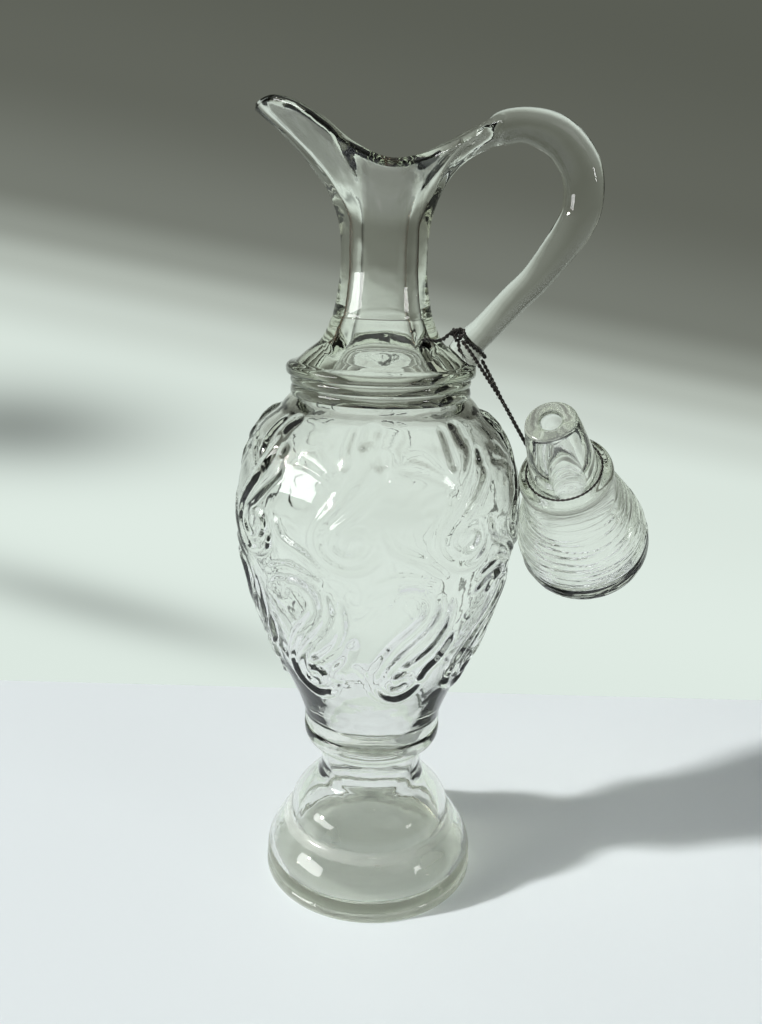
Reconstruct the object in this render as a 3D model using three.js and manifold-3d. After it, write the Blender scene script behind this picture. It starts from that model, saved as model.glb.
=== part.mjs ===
// Footed glass carafe with a swept pouring lip, a loop handle and a hollow stopper on a string.
// Millimetres, +Z up. The origin is the centre of the foot's flat underside, +X points to the handle
// and -X to the spout.
import * as THREE from 'three';
import Module from 'manifold-3d';
import { mergeVertices } from 'three/addons/utils/BufferGeometryUtils.js';

const wasm = await Module();
wasm.setup();

// Driving dimensions: radii, heights and walls of each gather of glass
const foot = {
  rimRadius: 39.8,
  rimHeight: 3,
  rimBevel: 0.6,
  grooveDepth: 0.6,
  ledgeRadius: 33,
  ledgeHeight: 19.3,
  domeRadius: 30.5,
  domeRise: 3.7,
  waistRadius: 19,
  waistHeight: 41,
  topRadius: 20.3,
  height: 52,
  wall: 3.6,
  floor: 5,
  floorFillet: 2,
};
const knop = { radius: 25.4, bandHeight: 3.9, height: 9.2, wall: 6.4 };
const bowl = { radius: 50.1, baseRadius: 25, topRadius: 31, height: 121.8, wall: 3.9, shoulderWall: 8.5 };
const relief = { motifs: 8, depth: 1.4, fade: 9, root: 0.9 };
const shoulderBand = { radius: 30.6, grooveRadius: 29.6, ringHeights: [4.1, 3.3], ringRound: 0.7 };
const neck = {
  flangeRadius: 32.2,
  flangeHeight: 3.9,
  bellRadius: 29.1,
  radius: 14.3,
  bellHeight: 29.7,
  straightHeight: 8,
  boreRadius: 7.55,
  rootBoreRadius: 15.5,
};
const lip = {
  saddleRadius: 21.5,
  saddleRise: 25.6,
  spoutRadius: 41.8,
  spoutRise: 17.8,
  rearRadius: 36.5,
  rearRise: 14.9,
  wall: 2.4,
  edge: 2.2,
  rearDepth: 9,
  crestDrop: 0.8,
  throatHeight: 6,
};
const handle = {
  startRadius: 5.2,
  elbowRadius: 6.6,
  armRadius: 4.8,
  rootRadius: 6.2,
  crownDepth: 6.2,
  rootDepth: 5.6,
  reach: 63.7,
  crownDrop: 2.6,
  elbowDrop: 24.2,
  crownRun: 6.7,
  bendRun: 12.7,
  armInset: 2.3,
  armDrop: 8.7,
  rootInset: 6.4,
  rootSink: 0.3,
};
const stopper = {
  tipRadius: 8.1,
  plugRadius: 11.4,
  plugLength: 26,
  mouthRadius: 3.4,
  boreRadius: 6,
  flangeRadius: 15.6,
  flangeHeight: 5,
  shoulderRadius: 14.8,
  headRadius: 22.7,
  headHeight: 43,
  domeHeight: 1.8,
  wall: 3,
  edge: 0.8,
  crownRim: 3,
  tilt: 42.5,
  heading: 60,
  tipInset: 21.1,
  tipForward: 35.2,
  tipDrop: 8.2,
};
const stringDiameter = 1.3;
const nooseSeat = 1.1;
const nooseTurn = -12;
const knotRadius = 2.4;

// Clearances: between pieces that are cut to each other, and between the resting stopper and the bowl
const seatGap = 0.35;
const restGap = 0.45;

// Facets
const vesselSides = 32;
const ridgeStepsPerPoint = 1.08;
const bowlRings = 18;
const ridgeTolerance = 0.03;
const stopperSides = 24;
const rodSides = 12;
const twineSides = 8;
const rimStepsPerSpan = 2;

// Heights of the stacked gathers
const bowlBase = foot.height + knop.height;
const bandBase = bowlBase + bowl.height;
const neckBase = bandBase + shoulderBand.ringHeights[0] + shoulderBand.ringHeights[1];
const flangeTop = neckBase + neck.flangeHeight;
const bellTop = flangeTop + neck.bellHeight;
const lipBase = bellTop + neck.straightHeight;
const saddleZ = lipBase + lip.saddleRise;
const rearRimZ = saddleZ + lip.rearRise;

// Bores that pass from one gather to the next
const waistBore = foot.waistRadius - foot.wall;
const knopBore = knop.radius - knop.wall;
const bandBore = bowl.topRadius - bowl.shoulderWall;

const glass = new THREE.MeshStandardMaterial({
  color: 0xdfe6da, roughness: 0.05, metalness: 0, transparent: true, opacity: 0.4,
});
const twine = new THREE.MeshStandardMaterial({ color: 0x2b1f19, roughness: 0.75, metalness: 0 });

const model = new THREE.Group();
const point = (r, z) => new THREE.Vector2(r, z);
const mix = THREE.MathUtils.lerp;

function addMesh(name, geometry, material, parent = model) {
  const mesh = new THREE.Mesh(geometry, material);
  mesh.name = name;
  parent.add(mesh);
}

// A stretch of profile from one point to another, shaped by [share across, share up] pairs
function stretch(from, to, shares) {
  return shares.map(([across, up]) => point(mix(from.x, to.x, across), mix(from.y, to.y, up)));
}

// A smooth run of points through a few profile points
function smooth(points, steps) {
  return new THREE.SplineCurve(points).getPoints(steps);
}

// A ring of glass turned round Z: the outer profile runs upwards and the inner one back down
function turned(outer, inner, sides) {
  const geometry = new THREE.LatheGeometry([...outer, ...inner, outer[0].clone()], sides);
  geometry.rotateX(Math.PI / 2);
  return geometry;
}

// Foot: rim disc, groove, lower bulge, ledge, dome and waist, hollow above a flat floor
const bulgeShape = [[0, 0], [0.06, 0.23], [0.32, 0.53], [0.7, 0.83], [1, 1]];
const domeShape = [[0, 0], [0.07, 0.22], [0.27, 0.44], [0.57, 0.64], [0.87, 0.81], [1, 1]];

function footGeometry() {
  const bulgeRadius = foot.rimRadius - foot.grooveDepth / 3;
  const groove = foot.rimRadius - foot.grooveDepth;
  const domeZ = foot.ledgeHeight + foot.domeRise;
  const collarZ = mix(foot.waistHeight, foot.height, 0.45);
  const ledge = point(foot.ledgeRadius, foot.ledgeHeight);
  const waist = point(foot.waistRadius, foot.waistHeight);
  const bulge = stretch(point(bulgeRadius, foot.rimHeight * 2), ledge, bulgeShape);
  const dome = stretch(point(foot.domeRadius, domeZ), waist, domeShape);
  const outer = [
    point(0, 0),
    point(foot.rimRadius - foot.rimBevel, 0),
    point(foot.rimRadius, foot.rimBevel),
    point(foot.rimRadius, foot.rimHeight),
    point(groove, foot.rimHeight + foot.grooveDepth / 2),
    ...smooth(bulge, 6),
    point(mix(foot.ledgeRadius, foot.domeRadius, 0.75), foot.ledgeHeight + foot.domeRise * 0.3),
    ...smooth(dome, 8),
    point(foot.waistRadius, collarZ),
    point(foot.topRadius, foot.height),
  ];
  const bulgeInside = stretch(
    point(bulgeRadius - foot.wall, foot.floor + foot.floorFillet),
    point(foot.ledgeRadius - foot.wall - foot.rimBevel, foot.ledgeHeight - foot.floorFillet),
    bulgeShape,
  );
  const domeInside = stretch(
    point(foot.domeRadius - foot.wall, domeZ - foot.wall * 0.7),
    point(waistBore, foot.waistHeight - foot.wall * 0.7),
    domeShape,
  );
  const inner = [
    point(waistBore, foot.height),
    ...smooth(domeInside, 7).reverse(),
    ...smooth(bulgeInside, 5).reverse(),
    point(bulgeRadius - foot.wall - foot.floorFillet, foot.floor),
    point(0, foot.floor),
  ];
  return turned(outer, inner, vesselSides);
}

// Knop ring: the thick collar between the waist and the bowl
function knopGeometry() {
  const edgeZ = bowlBase - knop.bandHeight;
  const outer = [
    point(foot.topRadius, foot.height),
    point(mix(foot.topRadius, knop.radius, 0.53), mix(foot.height, edgeZ, 0.38)),
    point(knop.radius - 0.3, edgeZ - 0.2),
    point(knop.radius, edgeZ + 0.4),
    point(knop.radius, bowlBase),
  ];
  const inner = [
    point(knopBore, bowlBase),
    point(mix(waistBore, knopBore, 0.3), mix(foot.height, bowlBase, 0.54)),
    point(waistBore, foot.height),
  ];
  return turned(outer, inner, vesselSides);
}

// Bowl: egg-shaped body, widest high up
const bowlShape = [
  [0, 0], [0.18, 0.11], [0.56, 0.278], [0.83, 0.442], [0.97, 0.57], [1, 0.65], [0.98, 0.76], [0.885, 0.836],
  [0.776, 0.893], [0.6, 0.943],
];

// Ridges of one motif: half width and height as shares of the relief's depth, and the points that the
// ridge runs through, in degrees round the bowl and shares of its height. The first two make the upper
// scroll, the third the scalloped top of the leaf, the last three the leaf and its lower scroll.
const ridges = [
  [1.9, 0.95, [
    [-1, 0.95], [-4, 0.9], [-10, 0.83], [-18, 0.75], [-22, 0.69], [-19.5, 0.645], [-12, 0.62], [-4, 0.635],
    [-1, 0.675], [-5, 0.71],
  ]],
  [1.7, 0.85, [[2, 0.88], [1.5, 0.84], [-4, 0.79], [-10.5, 0.74], [-12.5, 0.69]]],
  [1.6, 0.75, [[3, 0.73], [8, 0.67], [16, 0.65], [27, 0.59]]],
  [1.9, 0.95, [
    [7, 0.51], [11, 0.555], [18, 0.54], [20, 0.48], [11, 0.395], [2.5, 0.31], [0.5, 0.25], [6, 0.2],
    [14.5, 0.19], [21, 0.24],
  ]],
  [1.6, 0.85, [[26, 0.53], [24.5, 0.44], [16, 0.37], [9, 0.31], [10, 0.255]]],
  [1.9, 0.85, [[37, 0.41], [33, 0.34], [27, 0.28], [25.5, 0.24]]],
];

// A ridge's section has shoulders part way out and up, and its ends start at a share of its full size
const ridgeForm = { shoulderOut: 0.5, shoulderUp: 0.85, endSize: 0.4, growth: 0.35 };

const bowlOutline = new THREE.SplineCurve([
  ...stretch(point(bowl.baseRadius, bowlBase), point(bowl.radius, bandBase), bowlShape),
  point(bowl.topRadius, bandBase),
]);
const bowlPlaces = bowlOutline.getSpacedPoints(bowlRings * 9);

// The bowl's ground lies below the tops of the ridges, and meets the plain glass above and below it
function bowlGround(place) {
  const fade = Math.min(place.y - bowlBase, bandBase - place.y, relief.fade) / relief.fade;
  return point(place.x - relief.depth * fade, place.y);
}

// Share of its full size that a ridge has at a step along it: it narrows and sinks towards both ends
function ridgeSize(step, steps) {
  const fromEnd = Math.min(step, steps - step);
  return Math.min(1, ridgeForm.endSize + ridgeForm.growth * fromEnd);
}

// A ridge is a run of short lengths with a rounded top that follow the ground, rooted below it
function ridgeLengths([halfWidth, rise, points], offset) {
  const line = new THREE.SplineCurve(points.map(([degrees, up]) => (
    point(THREE.MathUtils.degToRad(degrees), bowlBase + up * bowl.height)
  )));
  const steps = Math.round(points.length * ridgeStepsPerPoint);
  const places = line.getPoints(steps).map((p) => {
    const i = bowlPlaces.findIndex((place) => place.y > p.y);
    const slope = bowlPlaces[i].clone().sub(bowlPlaces[i - 1]).normalize();
    const turn = p.x + offset;
    return { centre: around(bowlGround(bowlPlaces[i]), turn), out: around(point(slope.y, -slope.x), turn) };
  });
  const rings = places.map(({ centre, out }, i) => {
    const before = places[Math.max(0, i - 1)].centre;
    const after = places[Math.min(steps, i + 1)].centre;
    const side = out.clone().cross(after.clone().sub(before)).normalize();
    const width = halfWidth * relief.depth * ridgeSize(i, steps);
    const height = rise * relief.depth * ridgeSize(i, steps);
    const shoulder = [ridgeForm.shoulderOut * width, ridgeForm.shoulderUp * height];
    const half = [[width, -relief.root], shoulder];
    const section = [...half, [0, height], ...half.map(([across, up]) => [-across, up])];
    return section.map(([across, up]) => (
      centre.clone().addScaledVector(side, across).addScaledVector(out, up)
    ));
  });
  return rings.slice(1).map((ring, i) => (
    wasm.Manifold.hull([...rings[i], ...ring].map((p) => p.toArray()))
  ));
}

function bowlGeometry() {
  const inside = stretch(
    point(knopBore, bowlBase), point(bowl.radius - bowl.wall, bandBase - bowl.wall), bowlShape,
  );
  inside.push(point(bandBore, bandBase));
  const ground = bowlOutline.getSpacedPoints(bowlRings).map(bowlGround);
  const solids = [toManifold(turned(ground, smooth(inside, 14).reverse(), vesselSides))];
  for (let motif = 0; motif < relief.motifs; motif += 1) {
    const offset = (2 * Math.PI * motif) / relief.motifs;
    solids.push(...ridges.flatMap((ridge) => ridgeLengths(ridge, offset)));
  }
  // The union can leave slivers of no volume, so the largest body is the bowl
  const bodies = wasm.Manifold.union(solids).simplify(ridgeTolerance).decompose();
  bodies.sort((a, b) => b.volume() - a.volume());
  return fromManifold(bodies[0]);
}

// Shoulder band: two rounded rings between the bowl and the neck
function shoulderBandGeometry() {
  const outer = [point(shoulderBand.grooveRadius, bandBase)];
  let z = bandBase;
  for (const height of shoulderBand.ringHeights) {
    outer.push(point(shoulderBand.radius, z + shoulderBand.ringRound));
    outer.push(point(shoulderBand.radius, z + height - shoulderBand.ringRound));
    z += height;
    outer.push(point(shoulderBand.grooveRadius, z));
  }
  const inner = [
    point(neck.rootBoreRadius, neckBase),
    point(mix(neck.rootBoreRadius, bandBore, 0.24), mix(neckBase, bandBase, 0.33)),
    point(bandBore, bandBase),
  ];
  return turned(outer, inner, vesselSides);
}

// Turned part of the neck: flange, bell and straight tube
const bellShape = [
  [0, 0], [0.257, 0.118], [0.547, 0.232], [0.689, 0.347], [0.784, 0.461], [0.87, 0.59], [0.966, 0.85], [1, 1],
];
const boreShape = [[0, 0], [0.125, 0.046], [0.49, 0.22], [0.725, 0.42], [0.91, 0.653], [1, 1]];

function neckOutside() {
  const flange = [
    point(shoulderBand.grooveRadius, neckBase),
    point(neck.flangeRadius - 0.3, neckBase + 0.3),
    point(neck.flangeRadius, neckBase + neck.flangeHeight / 2),
    point(neck.flangeRadius - 0.5, flangeTop - 0.4),
  ];
  const bell = stretch(point(neck.bellRadius, flangeTop), point(neck.radius, bellTop), bellShape);
  return [...flange, ...smooth(bell, 10), point(neck.radius, lipBase)];
}

function neckInside() {
  const bore = stretch(
    point(neck.rootBoreRadius, neckBase), point(neck.boreRadius, bellTop), boreShape,
  );
  return [...smooth(bore, 7), point(neck.boreRadius, lipBase)];
}

// Rim of the lip: [degrees from the pull side, share outwards, share upwards] on each side of the saddle
const rearRim = [[0, 1, 1], [10, 1, 0.985], [17, 0.65, 0.765], [35, 0.19, 0.39], [62, 0, 0.08]];
const saddleAngle = 90;
const spoutRim = [
  [118, 0.09, 0.25], [138, 0.266, 0.618], [154, 0.527, 0.888], [166, 0.793, 1], [180, 1, 0.933],
];

function rimCurve() {
  const half = [
    ...rearRim.map(([angle, out, up]) => [
      angle, mix(lip.saddleRadius, lip.rearRadius, out), saddleZ + lip.rearRise * up,
    ]),
    [saddleAngle, lip.saddleRadius, saddleZ],
    ...spoutRim.map(([angle, out, up]) => [
      angle, mix(lip.saddleRadius, lip.spoutRadius, out), saddleZ + lip.spoutRise * up,
    ]),
  ];
  const mirrored = half.slice(1, -1).reverse().map(([angle, r, z]) => [-angle, r, z]);
  const points = [...half, ...mirrored].map(([angle, r, z]) => {
    const turn = THREE.MathUtils.degToRad(angle);
    return new THREE.Vector3(r * Math.cos(turn), r * Math.sin(turn), z);
  });
  return new THREE.CatmullRomCurve3(points, true);
}

const rimSpans = 2 * (rearRim.length + spoutRim.length);
const rim = rimCurve().getPoints(rimSpans * rimStepsPerSpan).slice(0, -1).map((p) => ({
  turn: Math.atan2(p.y, p.x), radius: Math.hypot(p.x, p.y), z: p.z,
}));

// Thickness of the rim: it deepens at the rear to the full depth of the handle that is drawn from it
const pullHalfAngle = THREE.MathUtils.degToRad(22);
function rimDepth(turn) {
  const away = Math.min(1, Math.abs(turn) / pullHalfAngle);
  return mix(lip.rearDepth, lip.edge, away * away * (3 - 2 * away));
}

function bezier(a, b, c, d, steps) {
  return new THREE.CubicBezierCurve(a, b, c, d).getPoints(steps).slice(1);
}

// The lip's skins at one place of the rim, from the neck's tube outwards and up. Each is a curve whose
// handles are shares of its run and rise: lift leaves the tube, run and drop arrive at the rim.
const outsideCurve = { lift: 0.37, rearLift: 0.1, run: 0.65, drop: 0.215, rearDrop: -0.14 };
const insideCurve = { lift: 0.3, run: 0.6, sideDrop: 0.15, spoutDrop: 0.38, rearDrop: 0.22 };

function lipOutside(place, grow = 0) {
  const end = point(place.radius + grow, place.z - rimDepth(place.turn));
  const start = point(neck.radius + grow, lipBase);
  const rise = end.y - start.y;
  const rearward = Math.cos(place.turn);
  const liftShare = outsideCurve.lift + outsideCurve.rearLift * Math.max(0, rearward);
  const lift = point(start.x, start.y + rise * liftShare);
  const drop = outsideCurve.drop + outsideCurve.rearDrop * rearward;
  const run = point((end.x - start.x) * outsideCurve.run, rise * drop);
  return bezier(start, lift, end.clone().sub(run), end, 7);
}

function lipInside(place) {
  const end = point(place.radius - lip.wall, place.z - lip.crestDrop / 3);
  const start = point(neck.boreRadius, lipBase + lip.throatHeight);
  const rise = end.y - start.y;
  const rearward = Math.cos(place.turn);
  const farDrop = rearward < 0 ? insideCurve.spoutDrop : insideCurve.rearDrop;
  const drop = mix(insideCurve.sideDrop, farDrop, Math.abs(rearward));
  const lift = point(start.x, start.y + rise * insideCurve.lift);
  const run = point((end.x - start.x) * insideCurve.run, rise * drop);
  return bezier(start, lift, end.clone().sub(run), end, 7);
}

// A closed skin through rings of points: a loop of rings, or a capped stack
function skin(rings, isLoop) {
  const count = rings[0].length;
  const vertices = rings.flat();
  const indices = [];
  const spans = isLoop ? rings.length : rings.length - 1;
  for (let i = 0; i < spans; i += 1) {
    const above = ((i + 1) % rings.length) * count;
    for (let k = 0; k < count; k += 1) {
      const next = (k + 1) % count;
      indices.push(i * count + k, i * count + next, above + next);
      indices.push(i * count + k, above + next, above + k);
    }
  }
  if (!isLoop) {
    const last = (rings.length - 1) * count;
    const middle = (ring) => ring.reduce((sum, p) => sum.add(p), new THREE.Vector3()).divideScalar(count);
    vertices.push(middle(rings[0]), middle(rings[rings.length - 1]));
    for (let k = 0; k < count; k += 1) {
      const next = (k + 1) % count;
      indices.push(next, k, vertices.length - 2);
      indices.push(last + k, last + next, vertices.length - 1);
    }
  }
  const geometry = new THREE.BufferGeometry().setFromPoints(vertices);
  geometry.setIndex(indices);
  return geometry;
}

const around = (p, turn) => new THREE.Vector3(p.x * Math.cos(turn), p.x * Math.sin(turn), p.y);
const ringOf = (p) => rim.map((place) => around(p, place.turn));
const ringsOf = (profiles) => profiles[0].map((_, i) => (
  rim.map((place, k) => around(profiles[k][i], place.turn))
));

// The turned outside and the lip's outside up to the crest of the rim, made wider all round by grow
function neckOutsideRings(grow) {
  const crest = [[-grow, lip.crestDrop - grow], [lip.wall / 2, -grow]].map(([back, drop]) => (
    rim.map((place) => around(point(place.radius - back, place.z - drop), place.turn))
  ));
  return [
    ...neckOutside().map((p) => ringOf(point(p.x + grow, p.y))),
    ...ringsOf(rim.map((place) => lipOutside(place, grow))),
    ...crest,
  ];
}

function neckGeometry() {
  return skin([
    ...neckOutsideRings(0),
    ...ringsOf(rim.map(lipInside)).reverse(),
    ...neckInside().reverse().map(ringOf),
  ], true);
}

function toManifold(geometry) {
  const bare = geometry.clone();
  bare.deleteAttribute('normal');
  bare.deleteAttribute('uv');
  const merged = mergeVertices(bare, 1e-4);
  return new wasm.Manifold(new wasm.Mesh({
    numProp: 3,
    vertProperties: new Float32Array(merged.attributes.position.array),
    triVerts: new Uint32Array(merged.index.array),
  }));
}

function fromManifold(solid) {
  const mesh = solid.getMesh();
  const geometry = new THREE.BufferGeometry();
  geometry.setAttribute('position', new THREE.Float32BufferAttribute(mesh.vertProperties, 3));
  geometry.setIndex(Array.from(mesh.triVerts));
  return geometry;
}

// Handle: a solid oval rod from the rear of the lip, over the crown and down to the bell.
// Each place is its centre's x and z and its radius in the plane of the handle.
const crownZ = rearRimZ - handle.crownDrop;
const elbowZ = rearRimZ - handle.elbowDrop;
const armTop = point(handle.reach - handle.armInset, elbowZ - handle.armDrop);
const armRoot = point(neck.flangeRadius - handle.rootInset, flangeTop - handle.rootSink);
const armShape = [
  [0, 0, 0.78], [0.28, 0.33, 0.17], [0.51, 0.52, 0.05], [0.74, 0.72, 0], [0.87, 0.82, 0], [0.95, 0.92, 0],
  [1, 1, 0],
];
const rootShares = [0, 0, 0, 0, 0.2, 0.8, 1];

function handlePlaces() {
  const start = lip.rearRadius + seatGap / 2;
  const crown = (share) => mix(handle.startRadius, handle.elbowRadius, share);
  const arm = armShape.map(([across, down, elbowShare], i) => [
    mix(armTop.x, armRoot.x, across),
    mix(armTop.y, armRoot.y, down),
    mix(handle.armRadius, handle.elbowRadius, elbowShare)
      + (handle.rootRadius - handle.armRadius) * rootShares[i],
  ]);
  return [
    [start, mix(crownZ, elbowZ, 0.05), crown(0)],
    [start + handle.crownRun, crownZ, crown(0.07)],
    [handle.reach - handle.bendRun, mix(crownZ, elbowZ, 0.075), crown(0.57)],
    [handle.reach - handle.bendRun * 0.53, mix(crownZ, elbowZ, 0.25), crown(0.86)],
    [handle.reach - handle.bendRun * 0.12, mix(crownZ, elbowZ, 0.585), crown(1)],
    [handle.reach, elbowZ, crown(0.93)],
    ...arm,
  ];
}

function handleGeometry() {
  const places = handlePlaces();
  const route = new THREE.CatmullRomCurve3(places.map(([x, z]) => new THREE.Vector3(x, 0, z)));
  const steps = 2 * (places.length - 1);
  const rings = Array.from({ length: steps + 1 }, (_, i) => {
    const centre = route.getPoint(i / steps);
    const along = route.getTangent(i / steps);
    const side = new THREE.Vector3(along.z, 0, -along.x);
    const before = places[Math.floor(i / 2)];
    const after = places[Math.ceil(i / 2)];
    const radius = (before[2] + after[2]) / 2;
    const depth = mix(handle.crownDepth, handle.rootDepth, i / steps);
    return Array.from({ length: rodSides }, (__, k) => {
      const turn = (2 * Math.PI * k) / rodSides;
      const lift = new THREE.Vector3(0, depth * Math.sin(turn), 0);
      return centre.clone().addScaledVector(side, radius * Math.cos(turn)).add(lift);
    });
  });
  const neckSolid = toManifold(skin(neckOutsideRings(seatGap * 1.3), false));
  const rod = toManifold(skin(rings, false));
  return fromManifold(rod.subtract(neckSolid).trimByPlane([0, 0, 1], flangeTop + seatGap));
}

addMesh('foot', footGeometry(), glass);
addMesh('knop_ring', knopGeometry(), glass);
addMesh('bowl', bowlGeometry(), glass);
addMesh('shoulder_band', shoulderBandGeometry(), glass);
addMesh('neck', neckGeometry(), glass);
addMesh('handle', handleGeometry(), glass);

// Stopper: hangs beside the bowl with its plug upwards. In its own frame the tip of the plug is the
// origin and the head points to -Z.
const stopperTilt = THREE.MathUtils.degToRad(stopper.tilt);
const stopperHeading = THREE.MathUtils.degToRad(stopper.heading);
const stopperAxis = new THREE.Vector3(
  Math.sin(stopperTilt) * Math.cos(stopperHeading),
  Math.sin(stopperTilt) * Math.sin(stopperHeading),
  -Math.cos(stopperTilt),
);
const stopperTip = new THREE.Vector3(
  bowl.radius + stopper.headRadius + restGap - stopper.tipInset,
  -stopper.tipForward,
  neckBase - stopper.tipDrop,
);
const stopperGroup = new THREE.Group();
stopperGroup.position.copy(stopperTip);
stopperGroup.quaternion.setFromUnitVectors(new THREE.Vector3(0, 0, -1), stopperAxis);
model.add(stopperGroup);

function plugGeometry() {
  const base = seatGap - stopper.plugLength;
  const outer = [
    point(stopper.plugRadius, base),
    point(stopper.tipRadius, -stopper.edge),
    point(stopper.tipRadius - stopper.edge, 0),
  ];
  const inner = [
    point(stopper.mouthRadius + stopper.edge / 2, 0),
    point(stopper.mouthRadius, -stopper.edge),
    point(stopper.boreRadius, base),
  ];
  return turned(outer, inner, stopperSides);
}

function stopperFlangeGeometry() {
  const top = -stopper.plugLength;
  const base = top - stopper.flangeHeight + seatGap;
  const round = stopper.flangeHeight * 0.3;
  const outer = [
    point(stopper.flangeRadius - round / 2, base),
    point(stopper.flangeRadius, base + round),
    point(stopper.flangeRadius, top - round),
    point(stopper.flangeRadius - round, top),
  ];
  const inner = [point(stopper.boreRadius, top), point(stopper.boreRadius, base)];
  return turned(outer, inner, stopperSides);
}

// The head's outline runs from its shoulder under the flange out to its widest edge
const headShape = [[0, 0], [0.15, 0.16], [0.52, 0.37], [0.86, 0.6], [0.97, 0.79], [1, 0.91], [0.9, 1]];
function headGeometry() {
  const top = -(stopper.plugLength + stopper.flangeHeight);
  const base = top - stopper.headHeight;
  const outside = stretch(
    point(stopper.shoulderRadius, top), point(stopper.headRadius, base), headShape,
  );
  const inside = stretch(
    point(stopper.boreRadius, top), point(stopper.headRadius - stopper.wall, base + stopper.wall),
    [[0, 0], [0.55, 0.14], [0.72, 0.38], [0.9, 0.66], [1, 0.85]],
  );
  const outer = [
    point(0, base - stopper.domeHeight),
    point(stopper.headRadius * 0.5, base - stopper.domeHeight * 0.8),
    point(stopper.headRadius - stopper.crownRim, base),
    ...smooth(outside, 10).reverse(),
  ];
  const inner = [
    ...smooth(inside, 8),
    point(stopper.headRadius - stopper.wall - stopper.crownRim * 0.8, base + stopper.wall),
    point(0, base - stopper.domeHeight + stopper.wall),
  ];
  return turned(outer, inner, stopperSides);
}

addMesh('stopper_plug', plugGeometry(), glass, stopperGroup);
addMesh('stopper_flange', stopperFlangeGeometry(), glass, stopperGroup);
addMesh('stopper_head', headGeometry(), glass, stopperGroup);

// String: waxed twine tied round the root of the handle, with a noose round the stopper's plug
function cordGeometry(points) {
  const route = new THREE.CatmullRomCurve3(points.map((p) => new THREE.Vector3(...p)));
  const section = new THREE.Shape(Array.from({ length: twineSides }, (_, k) => {
    const turn = (2 * Math.PI * k) / twineSides;
    return point(Math.cos(turn), Math.sin(turn)).multiplyScalar(stringDiameter / 2);
  }));
  const steps = Math.max(2, Math.round(route.getLength() / (2.5 * stringDiameter)));
  return new THREE.ExtrudeGeometry(section, { steps, extrudePath: route, bevelEnabled: false });
}

function addCord(name, points, parent) {
  addMesh(name, cordGeometry(points), twine, parent);
}

// Points on the string round the handle are set out from the top edge of the flange
const rootGroup = new THREE.Group();
rootGroup.position.set(neck.flangeRadius, 0, flangeTop);
model.add(rootGroup);

const knotPlace = [-7.4, -8.8, 10.9];
const knotGeometry = new THREE.SphereGeometry(knotRadius, 12, 8);
knotGeometry.translate(...knotPlace);
addMesh('string_knot', knotGeometry, twine, rootGroup);
addCord('string_loop', [
  [-4.9, -7.9, 9.0], [-2.2, -7.0, 6.8], [0.5, -5.8, 4.8], [2.2, -3.0, 3.3], [2.7, 0, 2.9], [2.4, 3.0, 3.5],
  [0.4, 5.9, 5.4], [-2.6, 6.9, 7.6], [-5.6, 5.7, 9.3], [-7.6, 2.9, 10.4], [-8.2, 0, 10.8],
  [-8.1, -2.8, 10.8], [-7.8, -5.3, 10.9],
], rootGroup);
addCord('string_tail_left', [
  [-10.1, -9.2, 10.2], [-12.4, -10.4, 9.2], [-15.2, -12.2, 9.1], [-17.4, -14.4, 9.3],
], rootGroup);
addCord('string_tail_down', [[-7.1, -9.7, 7.9], [-6.8, -10.3, 6.1], [-5.7, -10.4, 4.3]], rootGroup);
addCord('string_lead', [[-5.3, -9.9, 8.4], [-3.0, -9.2, 5.4], [0.1, -8.2, 2.7]], rootGroup);

// Two strands hang from the root of the handle and meet at a bend above the stopper
addCord('string_front_upper', [[0.7, -8.0, 1.7], [4.8, -8.5, -4.7], [8.8, -8.95, -11.1]], rootGroup);
addCord('string_back_upper', [[2.0, -2.4, 1.7], [5.4, -4.9, -4.7], [8.8, -7.25, -11.1]], rootGroup);

// From the bend they run side by side to the noose round the top of the stopper's plug
const bend = new THREE.Vector3(9.1, -8.1, -11.6).add(rootGroup.position);
const nooseRadius = stopper.plugRadius + stringDiameter / 2 + seatGap;
const nooseCentre = stopperTip.clone().addScaledVector(stopperAxis, stopper.plugLength - nooseSeat);
const pull = bend.clone().sub(nooseCentre).projectOnPlane(stopperAxis).normalize();
pull.applyAxisAngle(stopperAxis, THREE.MathUtils.degToRad(nooseTurn));
const nooseEnd = nooseCentre.clone().addScaledVector(pull, nooseRadius + stringDiameter);
nooseEnd.addScaledVector(stopperAxis, -stringDiameter / 2);
const strandHalfGap = new THREE.Vector3(0, stringDiameter * 0.68, 0);
for (const [name, side] of [['string_front_lower', -1], ['string_back_lower', 1]]) {
  const lower = nooseEnd.clone().addScaledVector(strandHalfGap, side);
  const upper = bend.clone().addScaledVector(strandHalfGap, side).lerp(lower, 0.03);
  const middle = upper.clone().lerp(lower, 0.5);
  addCord(name, [upper, middle, lower].map((p) => p.toArray()), model);
}

const noose = new THREE.TorusGeometry(nooseRadius, stringDiameter / 2, twineSides, stopperSides);
noose.translate(0, 0, nooseSeat - stopper.plugLength);
addMesh('string_noose', noose, twine, stopperGroup);

export default model;
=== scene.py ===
import math

import bmesh
import bpy
import numpy as np
from mathutils import Matrix, Vector


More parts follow.
